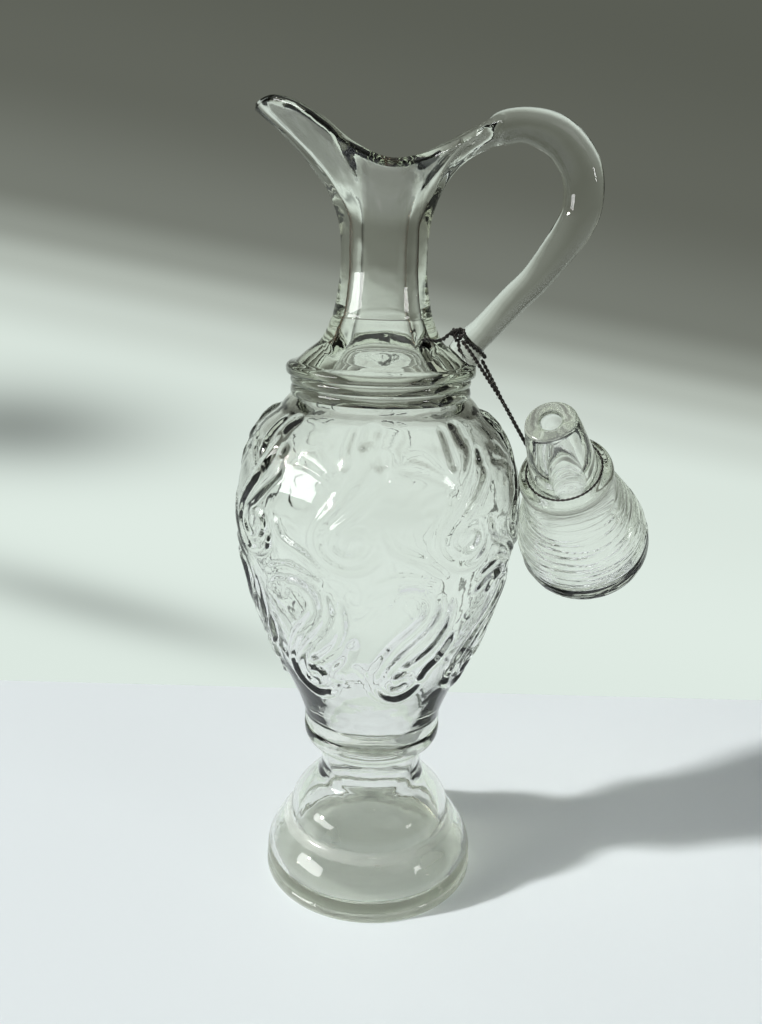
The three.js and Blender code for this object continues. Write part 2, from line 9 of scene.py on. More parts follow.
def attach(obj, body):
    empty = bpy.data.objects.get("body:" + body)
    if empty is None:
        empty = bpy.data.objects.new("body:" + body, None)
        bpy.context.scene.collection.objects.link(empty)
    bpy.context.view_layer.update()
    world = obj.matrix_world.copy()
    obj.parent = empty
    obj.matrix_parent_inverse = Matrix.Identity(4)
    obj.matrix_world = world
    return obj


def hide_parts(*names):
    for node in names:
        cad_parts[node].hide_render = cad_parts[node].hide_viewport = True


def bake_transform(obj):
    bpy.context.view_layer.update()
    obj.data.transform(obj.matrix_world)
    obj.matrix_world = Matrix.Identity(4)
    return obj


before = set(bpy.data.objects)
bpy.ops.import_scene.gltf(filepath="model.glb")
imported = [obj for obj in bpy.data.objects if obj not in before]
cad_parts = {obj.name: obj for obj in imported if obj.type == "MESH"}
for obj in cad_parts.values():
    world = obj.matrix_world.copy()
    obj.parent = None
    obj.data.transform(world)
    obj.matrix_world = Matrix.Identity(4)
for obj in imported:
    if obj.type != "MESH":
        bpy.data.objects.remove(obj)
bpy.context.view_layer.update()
MM = 0.001

# Camera, fitted to the outlines of the vessel's round rings
PHOTO_HEIGHT = 1024
FOCAL_PIXELS = 900
SENSOR = 36
CAMERA_PLACE = (0, -307, 231)
CLIP_START = 0.01
PITCH_DOWN = math.radians(16.25)
ROLL = math.radians(1.62)
YAW = math.radians(0.25)


def make_camera():
    data = bpy.data.cameras.new("camera")
    data.sensor_width = SENSOR
    data.lens = FOCAL_PIXELS * SENSOR / PHOTO_HEIGHT
    data.clip_start = CLIP_START
    camera = bpy.data.objects.new("camera", data)
    bpy.context.scene.collection.objects.link(camera)
    turn = Matrix.Rotation(-YAW, 4, "Z") @ Matrix.Rotation(math.pi / 2 - PITCH_DOWN, 4, "X")
    turn = turn @ Matrix.Rotation(ROLL, 4, "Z")
    camera.matrix_world = Matrix.Translation(Vector(CAMERA_PLACE) * MM) @ turn
    bpy.context.scene.camera = camera


make_camera()


# Curves and meshes
def spline(points, count):
    """count points along a smooth curve through the given points"""
    p = np.array(points, float)
    p = np.vstack([2 * p[0] - p[1], p, 2 * p[-1] - p[-2]])
    spans = len(p) - 3
    t = np.linspace(0, spans, count)
    i = np.minimum(t.astype(int), spans - 1)
    f = (t - i)[:, None]
    a, b, c, d = p[i], p[i + 1], p[i + 2], p[i + 3]
    bend = (2 * a - 5 * b + 4 * c - d) * f**2 + (3 * b - a - 3 * c + d) * f**3
    return 0.5 * (2 * b + (c - a) * f + bend)


def bezier(a, b, c, d, count):
    t = np.linspace(0, 1, count)[:, None]
    a, b, c, d = (np.array(p, float) for p in (a, b, c, d))
    return a * (1 - t)**3 + 3 * b * t * (1 - t)**2 + 3 * c * t**2 * (1 - t) + d * t**3


def run_of(points):
    """The length run so far at each point of a line"""
    steps = np.linalg.norm(np.diff(points, axis=0), axis=1)
    return np.concatenate([[0], np.cumsum(steps)])


def even(points, count):
    """count points at equal steps along a line of points"""
    points = np.asarray(points, float)
    run = run_of(points)
    at = np.linspace(0, run[-1], count)
    return np.stack([np.interp(at, run, column) for column in points.T], 1)


def stretch(start, end, shares):
    """Profile points from start to end, each a share of the way across and of the way up"""
    start, end = np.array(start, float), np.array(end, float)
    return [tuple(start + (end - start) * np.array(share)) for share in shares]


def smooth_step(share):
    share = np.clip(share, 0, 1)
    return share * share * (3 - 2 * share)


def directions(points):
    """The direction of a line at each of its points, of length 1"""
    along = np.gradient(points, axis=0)
    return along / np.linalg.norm(along, axis=1)[:, None]


def mesh_object(name, vertices, faces, material, sharp_degrees=None):
    mesh = bpy.data.meshes.new(name)
    mesh.from_pydata([tuple(v) for v in np.asarray(vertices) * MM], [], faces)
    mesh.shade_smooth()
    if sharp_degrees:
        mesh.set_sharp_from_angle(angle=math.radians(sharp_degrees))
    mesh.materials.append(material)
    piece = bpy.data.objects.new(name, mesh)
    bpy.context.scene.collection.objects.link(piece)
    return piece


def stitch(faces, low, high, low_start, high_start):
    """Faces between a ring of points and the next, which has as many, twice or half as many"""
    for k in range(min(low, high)):
        n = k + 1
        if low == high:
            faces.append((low_start + k, low_start + n % low, high_start + n % high, high_start + k))
        elif high > low:
            a, b = low_start + k, low_start + n % low
            c, d, e = (high_start + i % high for i in (2 * k, 2 * k + 1, 2 * k + 2))
            faces.extend([(a, d, c), (a, b, d), (b, e, d)])
        else:
            a, b, c = (low_start + i % low for i in (2 * k, 2 * k + 1, 2 * k + 2))
            d, e = high_start + k, high_start + n % high
            faces.extend([(a, b, d), (b, e, d), (b, c, e)])


def ring_body(rings):
    """A closed body through rings of points, which start and end at a point on the axis"""
    vertices = np.concatenate(rings)
    starts = np.concatenate([[0], np.cumsum([len(ring) for ring in rings])]).tolist()
    faces = []
    for i in range(1, len(rings) - 2):
        stitch(faces, len(rings[i]), len(rings[i + 1]), starts[i], starts[i + 1])
    first, last = len(rings[1]), len(rings[-2])
    for k in range(first):
        faces.append((0, starts[1] + (k + 1) % first, starts[1] + k))
    for k in range(last):
        faces.append((starts[-3] + k, starts[-3] + (k + 1) % last, starts[-2]))
    return vertices, faces


def angles(count):
    return np.arange(count) * 2 * math.pi / count


def on_axis(z):
    return np.array([[0.0, 0.0, z]])


def round_ring(radius, z, count):
    """A level ring whose radius and height are one value each, or one for each point"""
    turn = angles(count)
    return np.stack([radius * np.cos(turn), radius * np.sin(turn), z + 0 * turn], 1)


def add_round_rings(rings, profile, sides):
    rings.extend(round_ring(r, z, sides) for r, z in profile)


# Materials
def new_material(name):
    material = bpy.data.materials.new(name)
    material.use_nodes = True
    tree = material.node_tree
    return material, tree, tree.nodes["Principled BSDF"].inputs, tree.nodes["Material Output"].inputs


def feed(tree, socket, value):
    """Links an input to another node's output, or sets it to a plain value"""
    if isinstance(value, bpy.types.NodeSocket):
        tree.links.new(value, socket)
    else:
        socket.default_value = value


def feed_all(tree, sockets, values):
    for name, value in values.items():
        feed(tree, sockets[name], value)


def add_node(tree, kind, output, inputs=None):
    """One output of a new node. Its inputs are given by name or by place."""
    node = tree.nodes.new(f"ShaderNode{kind}")
    feed_all(tree, node.inputs, inputs or {})
    return node.outputs[output]


def add_noise(tree, scale, detail):
    place = add_node(tree, "TexCoord", "Object")
    return add_node(tree, "TexNoise", "Fac", {"Vector": place, "Scale": scale, "Detail": detail})


def add_bump(tree, height, strength, distance, below=None):
    inputs = {"Height": height, "Strength": strength, "Distance": distance}
    if below:
        inputs["Normal"] = below
    return add_node(tree, "Bump", "Normal", inputs)


def add_ramp(tree, factor, stops, interpolation="LINEAR"):
    ramp = tree.nodes.new("ShaderNodeValToRGB")
    ramp.color_ramp.interpolation = interpolation
    elements = ramp.color_ramp.elements
    while len(elements) < len(stops):
        elements.new(0.5)
    for element, (place, colour) in zip(elements, stops):
        element.position = place
        element.color = (*colour, 1)
    feed(tree, ramp.inputs["Fac"], factor)
    return ramp.outputs["Color"]


def add_math(tree, operation, *values, kind="Math"):
    node = tree.nodes.new(f"ShaderNode{kind}")
    node.operation = operation
    for socket, value in zip(node.inputs, values):
        feed(tree, socket, value)
    return node.outputs["Value"]


def add_range(tree, value, start, end, low=0, high=1):
    """Carries a value from between start and end over to between low and high, and holds it beyond"""
    return add_node(tree, "MapRange", "Result", {
        "Value": value, "From Min": start, "From Max": end, "To Min": low, "To Max": high,
    })


def add_mix(tree, share, first, second):
    """The first shader where share is 0, the second where it is 1"""
    return add_node(tree, "MixShader", "Shader", {"Fac": share, 1: first, 2: second})


def split_place(tree, kind="Object"):
    """The X, Y and Z of the place or direction that is shaded"""
    split = tree.nodes.new("ShaderNodeSeparateXYZ")
    feed(tree, split.inputs["Vector"], add_node(tree, "TexCoord", kind))
    return [split.outputs[axis] for axis in "XYZ"]


def grey(value):
    return (value,) * 3


# Glass: how it bends light, and the colour and density per metre with which it takes light up
GLASS_INDEX = 1.5
DEPTH_COLOUR, DEPTH_DENSITY = (0.72, 0.76, 0.62, 1), 24
# Share of the lamps' light that each face of the glass lets through
SHADOW_TINT = (0.34, 0.34, 0.32, 1)
# Waves and ripples of the surface: scale, detail, strength and height in metres
WAVES = 120, 1, 0.35, 0.0006
RIPPLES = 520, 2, 0.12, 0.00012
HAZE_SCALE, HAZE_DETAIL = 60, 3
SMUDGES = [(0.45, grey(0.0)), (0.8, grey(0.05))]
# How rough and how white a fully worn face is. The same whitening is a painted highlight on the foot's ledge.
DULL, GROUND_AND_HIGHLIGHT_SHARE = 0.45, 0.3
GROUND_AND_HIGHLIGHT_COLOUR = (0.8, 0.84, 0.8, 1)
# Painted shade in the neck, in metres: dark brown between two heights, inside a radius that narrows up to
# the bend. It shows where the glass is seen along its face, in place of the dark edges the bore shows there.
BORE_SHADE_LOW, BORE_SHADE_HIGH = 0.1945, 0.247
BORE_SHADE_WIDE, BORE_SHADE_NARROW, BORE_SHADE_BEND = 0.02, 0.011, 0.224
BORE_SHADE_EDGE = [(0.5, grey(0)), (0.78, grey(0.9))]
PAINTED_SHADE_COLOUR = (0.05, 0.036, 0.026, 1)
# Crease that the mould left across the neck: its height, and half its width and its depth in the shape. In
# metres, half the width of its painted shade line, how far in front the line starts, and how dark it is.
CREASE_Z, CREASE_HALF, CREASE_DEPTH = 209.6, 0.55, 0.22
CREASE_SHADE_LINE, CREASE_SHADE_FRONT, CREASE_SHADE_SHARE = 0.00014, -0.009, 0.7


def painted_shade_share(tree):
    """How much painted shade shows: dark brown only along the bore's edges, and a dark line in the mould's
    crease
    """
    x, y, z = split_place(tree)
    flat = add_math(tree, "MULTIPLY", y, y)
    radius = add_math(tree, "SQRT", add_math(tree, "MULTIPLY_ADD", x, x, flat))
    bore = add_range(tree, z, BORE_SHADE_LOW, BORE_SHADE_BEND, BORE_SHADE_WIDE, BORE_SHADE_NARROW)
    inside = add_math(tree, "LESS_THAN", radius, bore)
    above = add_math(tree, "GREATER_THAN", z, BORE_SHADE_LOW)
    below = add_math(tree, "LESS_THAN", z, BORE_SHADE_HIGH)
    # Painted shade along the bore's edges, where the glass is seen along its face
    facing = add_node(tree, "LayerWeight", "Facing", {"Blend": 0.5})
    painted_shade = add_math(tree, "MULTIPLY", inside, add_math(tree, "MULTIPLY", above, below))
    painted_shade = add_math(tree, "MULTIPLY", painted_shade, add_ramp(tree, facing, BORE_SHADE_EDGE))
    # Painted shade: a dark line in the mould's crease, drawn only on the near side
    off = add_math(tree, "ABSOLUTE", add_math(tree, "SUBTRACT", z, CREASE_Z * MM))
    crease_shade = add_math(tree, "LESS_THAN", off, CREASE_SHADE_LINE)
    crease_shade = add_math(tree, "MULTIPLY", crease_shade, add_math(tree, "LESS_THAN", y, CREASE_SHADE_FRONT))
    crease_shade = add_math(tree, "MULTIPLY", crease_shade, CREASE_SHADE_SHARE)
    return add_math(tree, "MAXIMUM", painted_shade, crease_shade)


def add_waves(tree, waves, below=None):
    scale, detail, strength, height = waves
    return add_bump(tree, add_noise(tree, scale, detail), strength, height, below)


def clear_glass():
    """Old moulded glass: faintly wavy, grey-green where it is thick, with a little haze from handling"""
    material, tree, glass, output = new_material("clear_glass")
    smudges = add_ramp(tree, add_noise(tree, HAZE_SCALE, HAZE_DETAIL), SMUDGES)
    wear_and_highlight = tree.nodes.new("ShaderNodeAttribute")
    wear_and_highlight.attribute_name = "wear_and_highlight"
    wear_and_highlight = wear_and_highlight.outputs["Fac"]
    feed_all(tree, glass, {
        "Base Color": (1, 1, 1, 1), "Transmission Weight": 1, "IOR": GLASS_INDEX,
        "Normal": add_waves(tree, RIPPLES, add_waves(tree, WAVES)),
        "Roughness": add_math(tree, "MULTIPLY_ADD", wear_and_highlight, DULL, smudges),
    })
    clear = tree.nodes["Principled BSDF"].outputs["BSDF"]
    # Whitish diffuse: ground glass at the base and the stopper's tip, and a painted highlight on the foot's
    # ledge
    whitened = add_node(tree, "BsdfDiffuse", "BSDF", {"Color": GROUND_AND_HIGHLIGHT_COLOUR})
    # Painted shade: dark brown diffuse drawn along the bore's edges and in the mould's crease
    painted_shade = add_node(tree, "BsdfDiffuse", "BSDF", {"Color": PAINTED_SHADE_COLOUR})
    passed = add_node(tree, "BsdfTransparent", "BSDF", {"Color": SHADOW_TINT})
    surface = add_mix(tree, add_math(tree, "MULTIPLY", wear_and_highlight, GROUND_AND_HIGHLIGHT_SHARE), clear, whitened)
    surface = add_mix(tree, painted_shade_share(tree), surface, painted_shade)
    surface = add_mix(tree, add_node(tree, "LightPath", "Is Shadow Ray"), surface, passed)
    feed(tree, output["Surface"], surface)
    depth = {"Color": DEPTH_COLOUR, "Density": DEPTH_DENSITY}
    feed(tree, output["Volume"], add_node(tree, "VolumeAbsorption", "Volume", depth))
    return material


def mark_wear_and_highlight(piece, wear_and_highlight):
    """Stores at each vertex, from 0 to 1, how ground or worn the glass is; on the foot's ledge, how strong
    its painted highlight is
    """
    layer = piece.data.attributes.new("wear_and_highlight", "FLOAT", "POINT")
    layer.data.foreach_set("value", [float(share) for share in wear_and_highlight])


# Twine: its fibres as waves, the scale of its wax's patches, its tones, and the wax's roughness and sheen
FIBRES = 900, 4, 0.7, 0.0002
PATCH_SCALE, PATCH_DETAIL = 160, 2
TWINE_TONES = [(0.3, (0.006, 0.005, 0.004)), (0.55, (0.014, 0.01, 0.008)), (0.78, (0.036, 0.027, 0.021))]
WAX_ROUGHNESS = [(0.3, grey(0.38)), (0.7, grey(0.75))]
WAX_SHEEN = 0.06


def waxed_twine():
    """Dark waxed thread: brown-black, streaked along its fibres, with a dull waxy sheen"""
    material, tree, thread, _ = new_material("waxed_twine")
    scale, detail, strength, height = FIBRES
    streaks = add_noise(tree, scale, detail)
    patches = add_noise(tree, PATCH_SCALE, PATCH_DETAIL)
    feed_all(tree, thread, {
        "Base Color": add_ramp(tree, streaks, TWINE_TONES),
        "Roughness": add_ramp(tree, patches, WAX_ROUGHNESS),
        "Normal": add_bump(tree, streaks, strength, height),
        "Sheen Weight": WAX_SHEEN,
    })
    return material


GLASS = clear_glass()
TWINE = waxed_twine()

# String: two plies of waxed thread twisted together
STRING_DIAMETER = 1.3
PLY_RADIUS = 0.29 * STRING_DIAMETER
PLY_OFFSET = 0.24 * STRING_DIAMETER
LAY = 3.2
PLY_SIDES = 8
TWINE_STEP = 0.28
# Unevenness of a ply: height and rate of its waves, and the share left to chance
SWELL, SWELL_RATE, SWELL_CHANCE = 0.07, 1.9, 0.05
# Hairs: radius and reach, where they root, and the least and most that each one leans out, slants along the
# twine, reaches and curls
HAIR_RADIUS, HAIR_REACH, HAIR_SEAT, HAIR_SIDES = 0.07, 1.3, 0.3, 4
HAIR_LEAN, HAIR_SLANT, HAIR_LENGTH, HAIR_CURL = (0.6, 1), (-0.9, 0.9), (0.4, 1), (-0.5, 0.5)
HAIR_TAPER = np.linspace(1, 0.4, 5)
# Frayed ends: reach, where the fibres root, how far they spread and droop, and the share they reach
FRAY_REACH, FRAY_SEAT = 3.2, 0.6
FRAY_SPREAD, FRAY_DROOP, FRAY_LENGTH = (-0.55, 0.55), np.array([0, 0, -0.35]), (0.5, 1)
FRAY_TAPER = np.linspace(1.8, 0.5, 6)
ROOT = Vector((32.2, 0, 194.3))
OFF_ROUTES = (0.3, 0.5, 0.81)


def frames_along(route):
    """Two directions square to the route at each point, carried along it without twist"""
    along = directions(route)
    side = np.cross(along[0], OFF_ROUTES)
    sides = []
    for direction in along:
        side = side - direction * side.dot(direction)
        side /= np.linalg.norm(side)
        sides.append(side)
    sides = np.array(sides)
    return sides, np.cross(along, sides)


def add_tube(vertices, faces, centres, sides, ups, radii, count, closed=False):
    start = len(vertices)
    turn = angles(count)
    for centre, side, up, radius in zip(centres, sides, ups, radii):
        for t in turn:
            vertices.append(centre + (side * math.cos(t) + up * math.sin(t)) * radius)
    spans = len(centres) if closed else len(centres) - 1
    for i in range(spans):
        low, high = start + i * count, start + (i + 1) % len(centres) * count
        for k in range(count):
            n = (k + 1) % count
            faces.append((low + k, low + n, high + n, high + k))
    if not closed:
        faces.append(tuple(start + k for k in reversed(range(count))))
        faces.append(tuple(start + (len(centres) - 1) * count + k for k in range(count)))


def add_hairs(vertices, faces, route, count, chance):
    """Loose fibres that stand off the twine"""
    sides, ups = frames_along(route)
    along = directions(route)
    for _ in range(count):
        i = chance.randint(1, len(route) - 1)
        turn = chance.uniform(0, 2 * math.pi)
        out = sides[i] * math.cos(turn) + ups[i] * math.sin(turn)
        lean = out * chance.uniform(*HAIR_LEAN) + along[i] * chance.uniform(*HAIR_SLANT)
        length = HAIR_REACH * chance.uniform(*HAIR_LENGTH)
        curl = np.cross(along[i], out) * chance.uniform(*HAIR_CURL)
        root = route[i] + out * STRING_DIAMETER * HAIR_SEAT
        line = np.array([
            root + lean * length * t + curl * length * t * t for t in np.linspace(0, 1, len(HAIR_TAPER))
        ])
        hair_sides, hair_ups = frames_along(line)
        add_tube(vertices, faces, line, hair_sides, hair_ups, HAIR_RADIUS * HAIR_TAPER, HAIR_SIDES)


def add_fray(vertices, faces, end, direction, count, chance):
    """The unlaid end of the twine: fibres that spread from its last point"""
    direction = direction / np.linalg.norm(direction)
    for _ in range(count):
        spread = chance.uniform(*FRAY_SPREAD, 3)
        length = FRAY_REACH * chance.uniform(*FRAY_LENGTH)
        line = np.array([
            end - direction * FRAY_SEAT + (direction + spread * t + FRAY_DROOP * t) * length * t
            for t in np.linspace(0, 1, len(FRAY_TAPER))
        ])
        sides, ups = frames_along(line)
        add_tube(vertices, faces, line, sides, ups, HAIR_RADIUS * FRAY_TAPER, HAIR_SIDES)


def twine(name, points, closed=False, hairs=4, fray=0, seed=1, thin=1.0):
    """A run of twine through points, and the line that it follows"""
    chance = np.random.RandomState(seed)
    coarse = spline(points, 24 * len(points))
    length = run_of(coarse)[-1]
    count = max(8, int(length / TWINE_STEP))
    route = even(coarse, count)
    if closed:
        route = route[:-1]
    sides, ups = frames_along(route)
    run = np.linspace(0, length, len(route), endpoint=not closed)
    turns = max(1, round(length / LAY)) if closed else length / LAY
    vertices, faces = [], []
    for ply in (0, math.pi):
        phase = ply + 2 * math.pi * turns * run / length
        out = sides * np.cos(phase)[:, None] + ups * np.sin(phase)[:, None]
        swell = 1 + SWELL * np.sin(run * SWELL_RATE + ply) + SWELL_CHANCE * chance.uniform(-1, 1, len(run))
        add_tube(
            vertices, faces, route + out * PLY_OFFSET * thin, sides, ups,
            PLY_RADIUS * thin * swell, PLY_SIDES, closed,
        )
    add_hairs(vertices, faces, route, hairs, chance)
    if fray:
        add_fray(vertices, faces, route[-1], route[-1] - route[-3], fray, chance)
    return mesh_object(name, vertices, faces, TWINE), route


def at_root(points):
    """Points set out from the top edge of the flange, where the handle meets it"""
    return [tuple(ROOT + Vector(p)) for p in points]


# Routes of the string, in millimetres from the top edge of the flange
KNOT = (-7.4, -8.8, 10.9)
KNOT_RADIUS = 2.8
TREFOIL_REACH, TREFOIL_DEPTH = 3, 1.3
FULL_TURN = np.linspace(0, 2 * math.pi, 25)
LOOP = [
    (-4.9, -7.9, 9.0), (-2.2, -7.0, 6.8), (0.5, -5.8, 4.8), (2.2, -3.0, 3.3), (2.7, 0, 2.9), (2.4, 3.0, 3.5),
    (0.4, 5.9, 5.4), (-2.6, 6.9, 7.6), (-5.6, 5.7, 9.3), (-7.6, 2.9, 10.4), (-8.2, 0, 10.8),
    (-8.1, -2.8, 10.8), (-7.8, -5.3, 10.9),
]
TAIL_LEFT = [
    (-9.1, -9.1, 11.0), (-10.3, -9.7, 10.9), (-12.1, -10.9, 9.5), (-14.4, -12.4, 8.8), (-16.7, -14.1, 9.1),
    (-18.6, -15.5, 9.6),
]
TAIL_DOWN = [(-7.1, -9.5, 8.6), (-7.1, -9.7, 7.9), (-6.8, -10.3, 6.1), (-5.9, -10.4, 4.9)]
LEAD = [(-6.2, -10.4, 9.0), (-3.7, -10.0, 6.0), (-1.0, -9.2, 2.5)]
FRONT_UPPER = [(-1.4, -9.3, 3.0), (3.7, -8.7, -4.1)]
BACK_UPPER = [(1.4, -3.2, 2.2), (5.4, -4.9, -4.7)]
BEND = (9.1, -8.1, -11.6)

# Stopper: its tip, the way its axis points, and the noose round the top of its plug
STOPPER_TIP = Vector((52.15, -35.2, 182.2))
TILT = math.radians(42.5)
HEADING = math.radians(60)
STOPPER_AXIS = Vector((
    math.sin(TILT) * math.cos(HEADING), math.sin(TILT) * math.sin(HEADING), -math.cos(TILT),
))
PLUG_RADIUS = 11.4
PLUG_LENGTH = 26
NOOSE_SEAT = 1.1
NOOSE_TURN = math.radians(-12)
NOOSE_PRESSED = 0.62
NOOSE_GAP = 0.35
NOOSE_RADIUS = PLUG_RADIUS + STRING_DIAMETER / 2 + NOOSE_GAP
NOOSE_CENTRE = STOPPER_TIP + STOPPER_AXIS * (PLUG_LENGTH - NOOSE_SEAT)


def hanging_strand(upper, side):
    """Points of one strand: from the root of the handle through the bend to the noose"""
    bend = ROOT + Vector(BEND)
    pull = bend - NOOSE_CENTRE
    pull = (pull - STOPPER_AXIS * pull.dot(STOPPER_AXIS)).normalized()
    pull = Matrix.Rotation(NOOSE_TURN, 3, STOPPER_AXIS) @ pull
    end = NOOSE_CENTRE + pull * (NOOSE_RADIUS + STRING_DIAMETER) - STOPPER_AXIS * STRING_DIAMETER / 2
    beside = Vector((0, STRING_DIAMETER / 2 * side, 0))
    return at_root(upper) + [tuple(bend + beside), tuple(bend.lerp(end, 0.5) + beside), tuple(end + beside)]


def make_knot():
    """An overhand knot drawn tight: the twine follows a trefoil"""
    points = []
    for t in FULL_TURN:
        across = math.sin(t) + 2 * math.sin(2 * t)
        up = math.cos(t) - 2 * math.cos(2 * t)
        points.append((across, -TREFOIL_DEPTH * math.sin(3 * t), up))
    tight = (KNOT_RADIUS - STRING_DIAMETER / 2) / TREFOIL_REACH
    middle = ROOT + Vector(KNOT)
    return twine("knot", [tuple(middle + Vector(p) * tight) for p in points], closed=True, hairs=10, seed=3)


def make_noose():
    across = STOPPER_AXIS.orthogonal().normalized()
    up = STOPPER_AXIS.cross(across)
    points = [
        tuple(NOOSE_CENTRE + (across * math.cos(t) + up * math.sin(t)) * NOOSE_RADIUS)
        for t in FULL_TURN
    ]
    return twine("noose", points, closed=True, hairs=6, seed=4, thin=NOOSE_PRESSED)


def make_string():
    knot, _ = make_knot()
    loop, _ = twine("loop", at_root(LOOP), hairs=8, seed=5)
    left, _ = twine("tail_left", at_root(TAIL_LEFT), hairs=6, fray=9, seed=6)
    down, _ = twine("tail_down", at_root(TAIL_DOWN), hairs=6, fray=12, seed=7)
    lead, _ = twine("lead", at_root(LEAD), hairs=3, seed=8)
    noose, _ = make_noose()
    for piece, node in (
        (knot, "string_knot"), (loop, "string_loop"), (left, "string_tail_left"),
        (down, "string_tail_down"),
    ):
        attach(piece, "root")
        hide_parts(node)
    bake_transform(lead)
    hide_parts("string_lead")
    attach(noose, "string_lower")
    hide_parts("string_noose")
    for word, upper, side, seed, extras in (
        ("front", FRONT_UPPER, -1, 9, [knot, loop, left, down, lead, noose]),
        ("back", BACK_UPPER, 1, 10, []),
    ):
        points = hanging_strand(upper, side)
        strand, route = twine(f"strand_{word}", points, hairs=9, seed=seed)
        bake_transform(strand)
        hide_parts(f"string_{word}_upper", f"string_{word}_lower")


make_string()

# Vessel: outline of the outside from the flat base up to the lip, and of the inside back down
FINE_SIDES = 336
SIDES = 168
INNER_SIDES = 84
BOWL_BASE = 61.2
BAND_BASE = 183.0
NECK_BASE = 190.4
FLANGE_TOP = 194.3
BELL_TOP = 224.0
LIP_BASE = 232.0
SADDLE_Z = 257.6
TUBE_RADIUS = 14.3
BORE_RADIUS = 7.55
HOLLOW_FLOOR = 5.0
# Band of two rolls under the neck's flange
BAND_RADIUS, BAND_STAND, BAND_ROUNDNESS = 29.6, 1.1, 0.45
BAND_HEIGHTS = 4.1, 3.3
# Curves of the outline, each as shares of the way across and of the way up
BULGE = [(0, 0), (0.06, 0.23), (0.32, 0.53), (0.7, 0.83), (1, 1)]
DOME = [(0, 0), (0.07, 0.22), (0.27, 0.44), (0.57, 0.64), (0.87, 0.81), (1, 1)]
BOWL = [
    (0, 0), (0.18, 0.11), (0.56, 0.278), (0.83, 0.442), (0.97, 0.57), (1, 0.65), (0.98, 0.76), (0.885, 0.836),
    (0.776, 0.893), (0.6, 0.943),
]
BELL = [
    (0, 0), (0.257, 0.118), (0.547, 0.232), (0.689, 0.347), (0.784, 0.461), (0.87, 0.59), (0.966, 0.85),
    (1, 1),
]
BORE = [(0, 0), (0.125, 0.046), (0.49, 0.22), (0.725, 0.42), (0.91, 0.653), (1, 1)]


def foot_profile():
    rim = [
        (38.9, 0), (39.5, 0.12), (39.8, 0.6), (39.8, 2.4), (39.6, 2.95), (39.15, 3.25), (39.05, 3.6),
        (39.35, 4.2), (39.6, 6),
    ]
    bulge = spline(stretch((39.6, 6), (33, 19.3), BULGE), 22)
    ledge = [(32.4, 19.75), (31.4, 20.15), (30.75, 20.9), (30.5, 21.8)]
    dome = spline(stretch((30.5, 23), (19, 41), DOME), 18)
    waist = spline([(19, 41), (18.85, 43.5), (19.0, 46.5), (19.6, 49.5), (20.3, 52)], 8)
    return np.vstack([[(20, 0), (32, 0)], rim, bulge[1:], ledge, dome, waist[1:]])


def knop_profile():
    return spline([
        (20.3, 52), (21.4, 52.7), (23.2, 53.9), (24.6, 55.6), (25.25, 57.4), (25.4, 59.0), (25.3, 60.3),
        (24.7, 61.1),
    ], 15)[1:]


def bowl_profile():
    outline = stretch((25, BOWL_BASE), (50.1, BAND_BASE), BOWL) + [(31, BAND_BASE)]
    return even(spline(outline, 400), 156)


def band_profile():
    points = []
    z = BAND_BASE
    for height in BAND_HEIGHTS:
        for share in np.linspace(0, 1, 9)[:-1]:
            out = BAND_STAND * math.sin(math.pi * share)**BAND_ROUNDNESS
            points.append((BAND_RADIUS + out, z + height * share))
        z += height
    flange = [(BAND_RADIUS, NECK_BASE), (31.6, 190.65), (32.2, 191.6), (32.1, 193.2), (31.2, 194.15)]
    return np.vstack([points[1:], spline(flange, 10)])


def bell_profile():
    """The bell, with the hairline crease left by the mould's joint, and the neck's straight tube"""
    bell = even(spline(stretch((29.1, FLANGE_TOP), (TUBE_RADIUS, BELL_TOP), BELL), 200), 46)
    dip = np.clip(1 - np.abs(bell[:, 1] - CREASE_Z) / CREASE_HALF, 0, 1)
    bell[:, 0] -= CREASE_DEPTH * dip
    tube = [(TUBE_RADIUS, z) for z in (226.5, 229.5, LIP_BASE)]
    return np.vstack([bell, tube])


def inner_profile():
    """The inside from the lip's tube down to the hollow foot and its flat floor"""
    tube = [(BORE_RADIUS, 234), (BORE_RADIUS, 229)]
    bore = spline(stretch((15.5, NECK_BASE), (BORE_RADIUS, BELL_TOP), BORE), 20)[::-1]
    shoulder = [(17.4, 187.9), (20.0, 185.4)]
    bowl = stretch((19, BOWL_BASE), (46.2, 179.1), BOWL) + [(22.5, BAND_BASE)]
    bowl = even(spline(bowl, 300), 46)[::-1]
    knop = spline([(19, BOWL_BASE), (16.6, 57.0), (15.4, 52), (15.2, 47), (15.4, 38.5)], 12)[1:]
    dome = spline(stretch((26.9, 20.4), (15.4, 38.5), DOME), 14)[::-1][1:]
    bulge = spline(stretch((36, 7), (28.9, 17.3), BULGE), 12)[::-1]
    floor = [(34, HOLLOW_FLOOR), (18, HOLLOW_FLOOR)]
    return np.vstack([tube, bore, shoulder, bowl, knop, dome, bulge, floor])


# Rim of the lip: degrees from the handle's side, share outwards and share upwards from the saddle
SADDLE_RADIUS = 21.5
REAR_RADIUS, REAR_RISE = 36.5, 14.9
SPOUT_RADIUS, SPOUT_RISE = 41.8, 17.8
REAR_RIM = [(0, 1, 1), (10, 1, 0.985), (17, 0.65, 0.765), (35, 0.19, 0.39), (62, 0, 0.08)]
SPOUT_RIM = [
    (118, 0.09, 0.25), (138, 0.266, 0.618), (154, 0.527, 0.888), (166, 0.793, 1), (180, 1, 0.933),
]
LIP_WALL = 2.4
# How far below the rim the outside ends: at the sides, and where the handle is pulled from the lip
SIDE_DEPTH, REAR_DEPTH = LIP_WALL * 0.92, 9.0
PULL_HALF_ANGLE = math.radians(22)
LIP_STEPS = 22
CREST_SHARES = np.linspace(0.12, 0.9, 6)
CREST_HEIGHT = 1.1
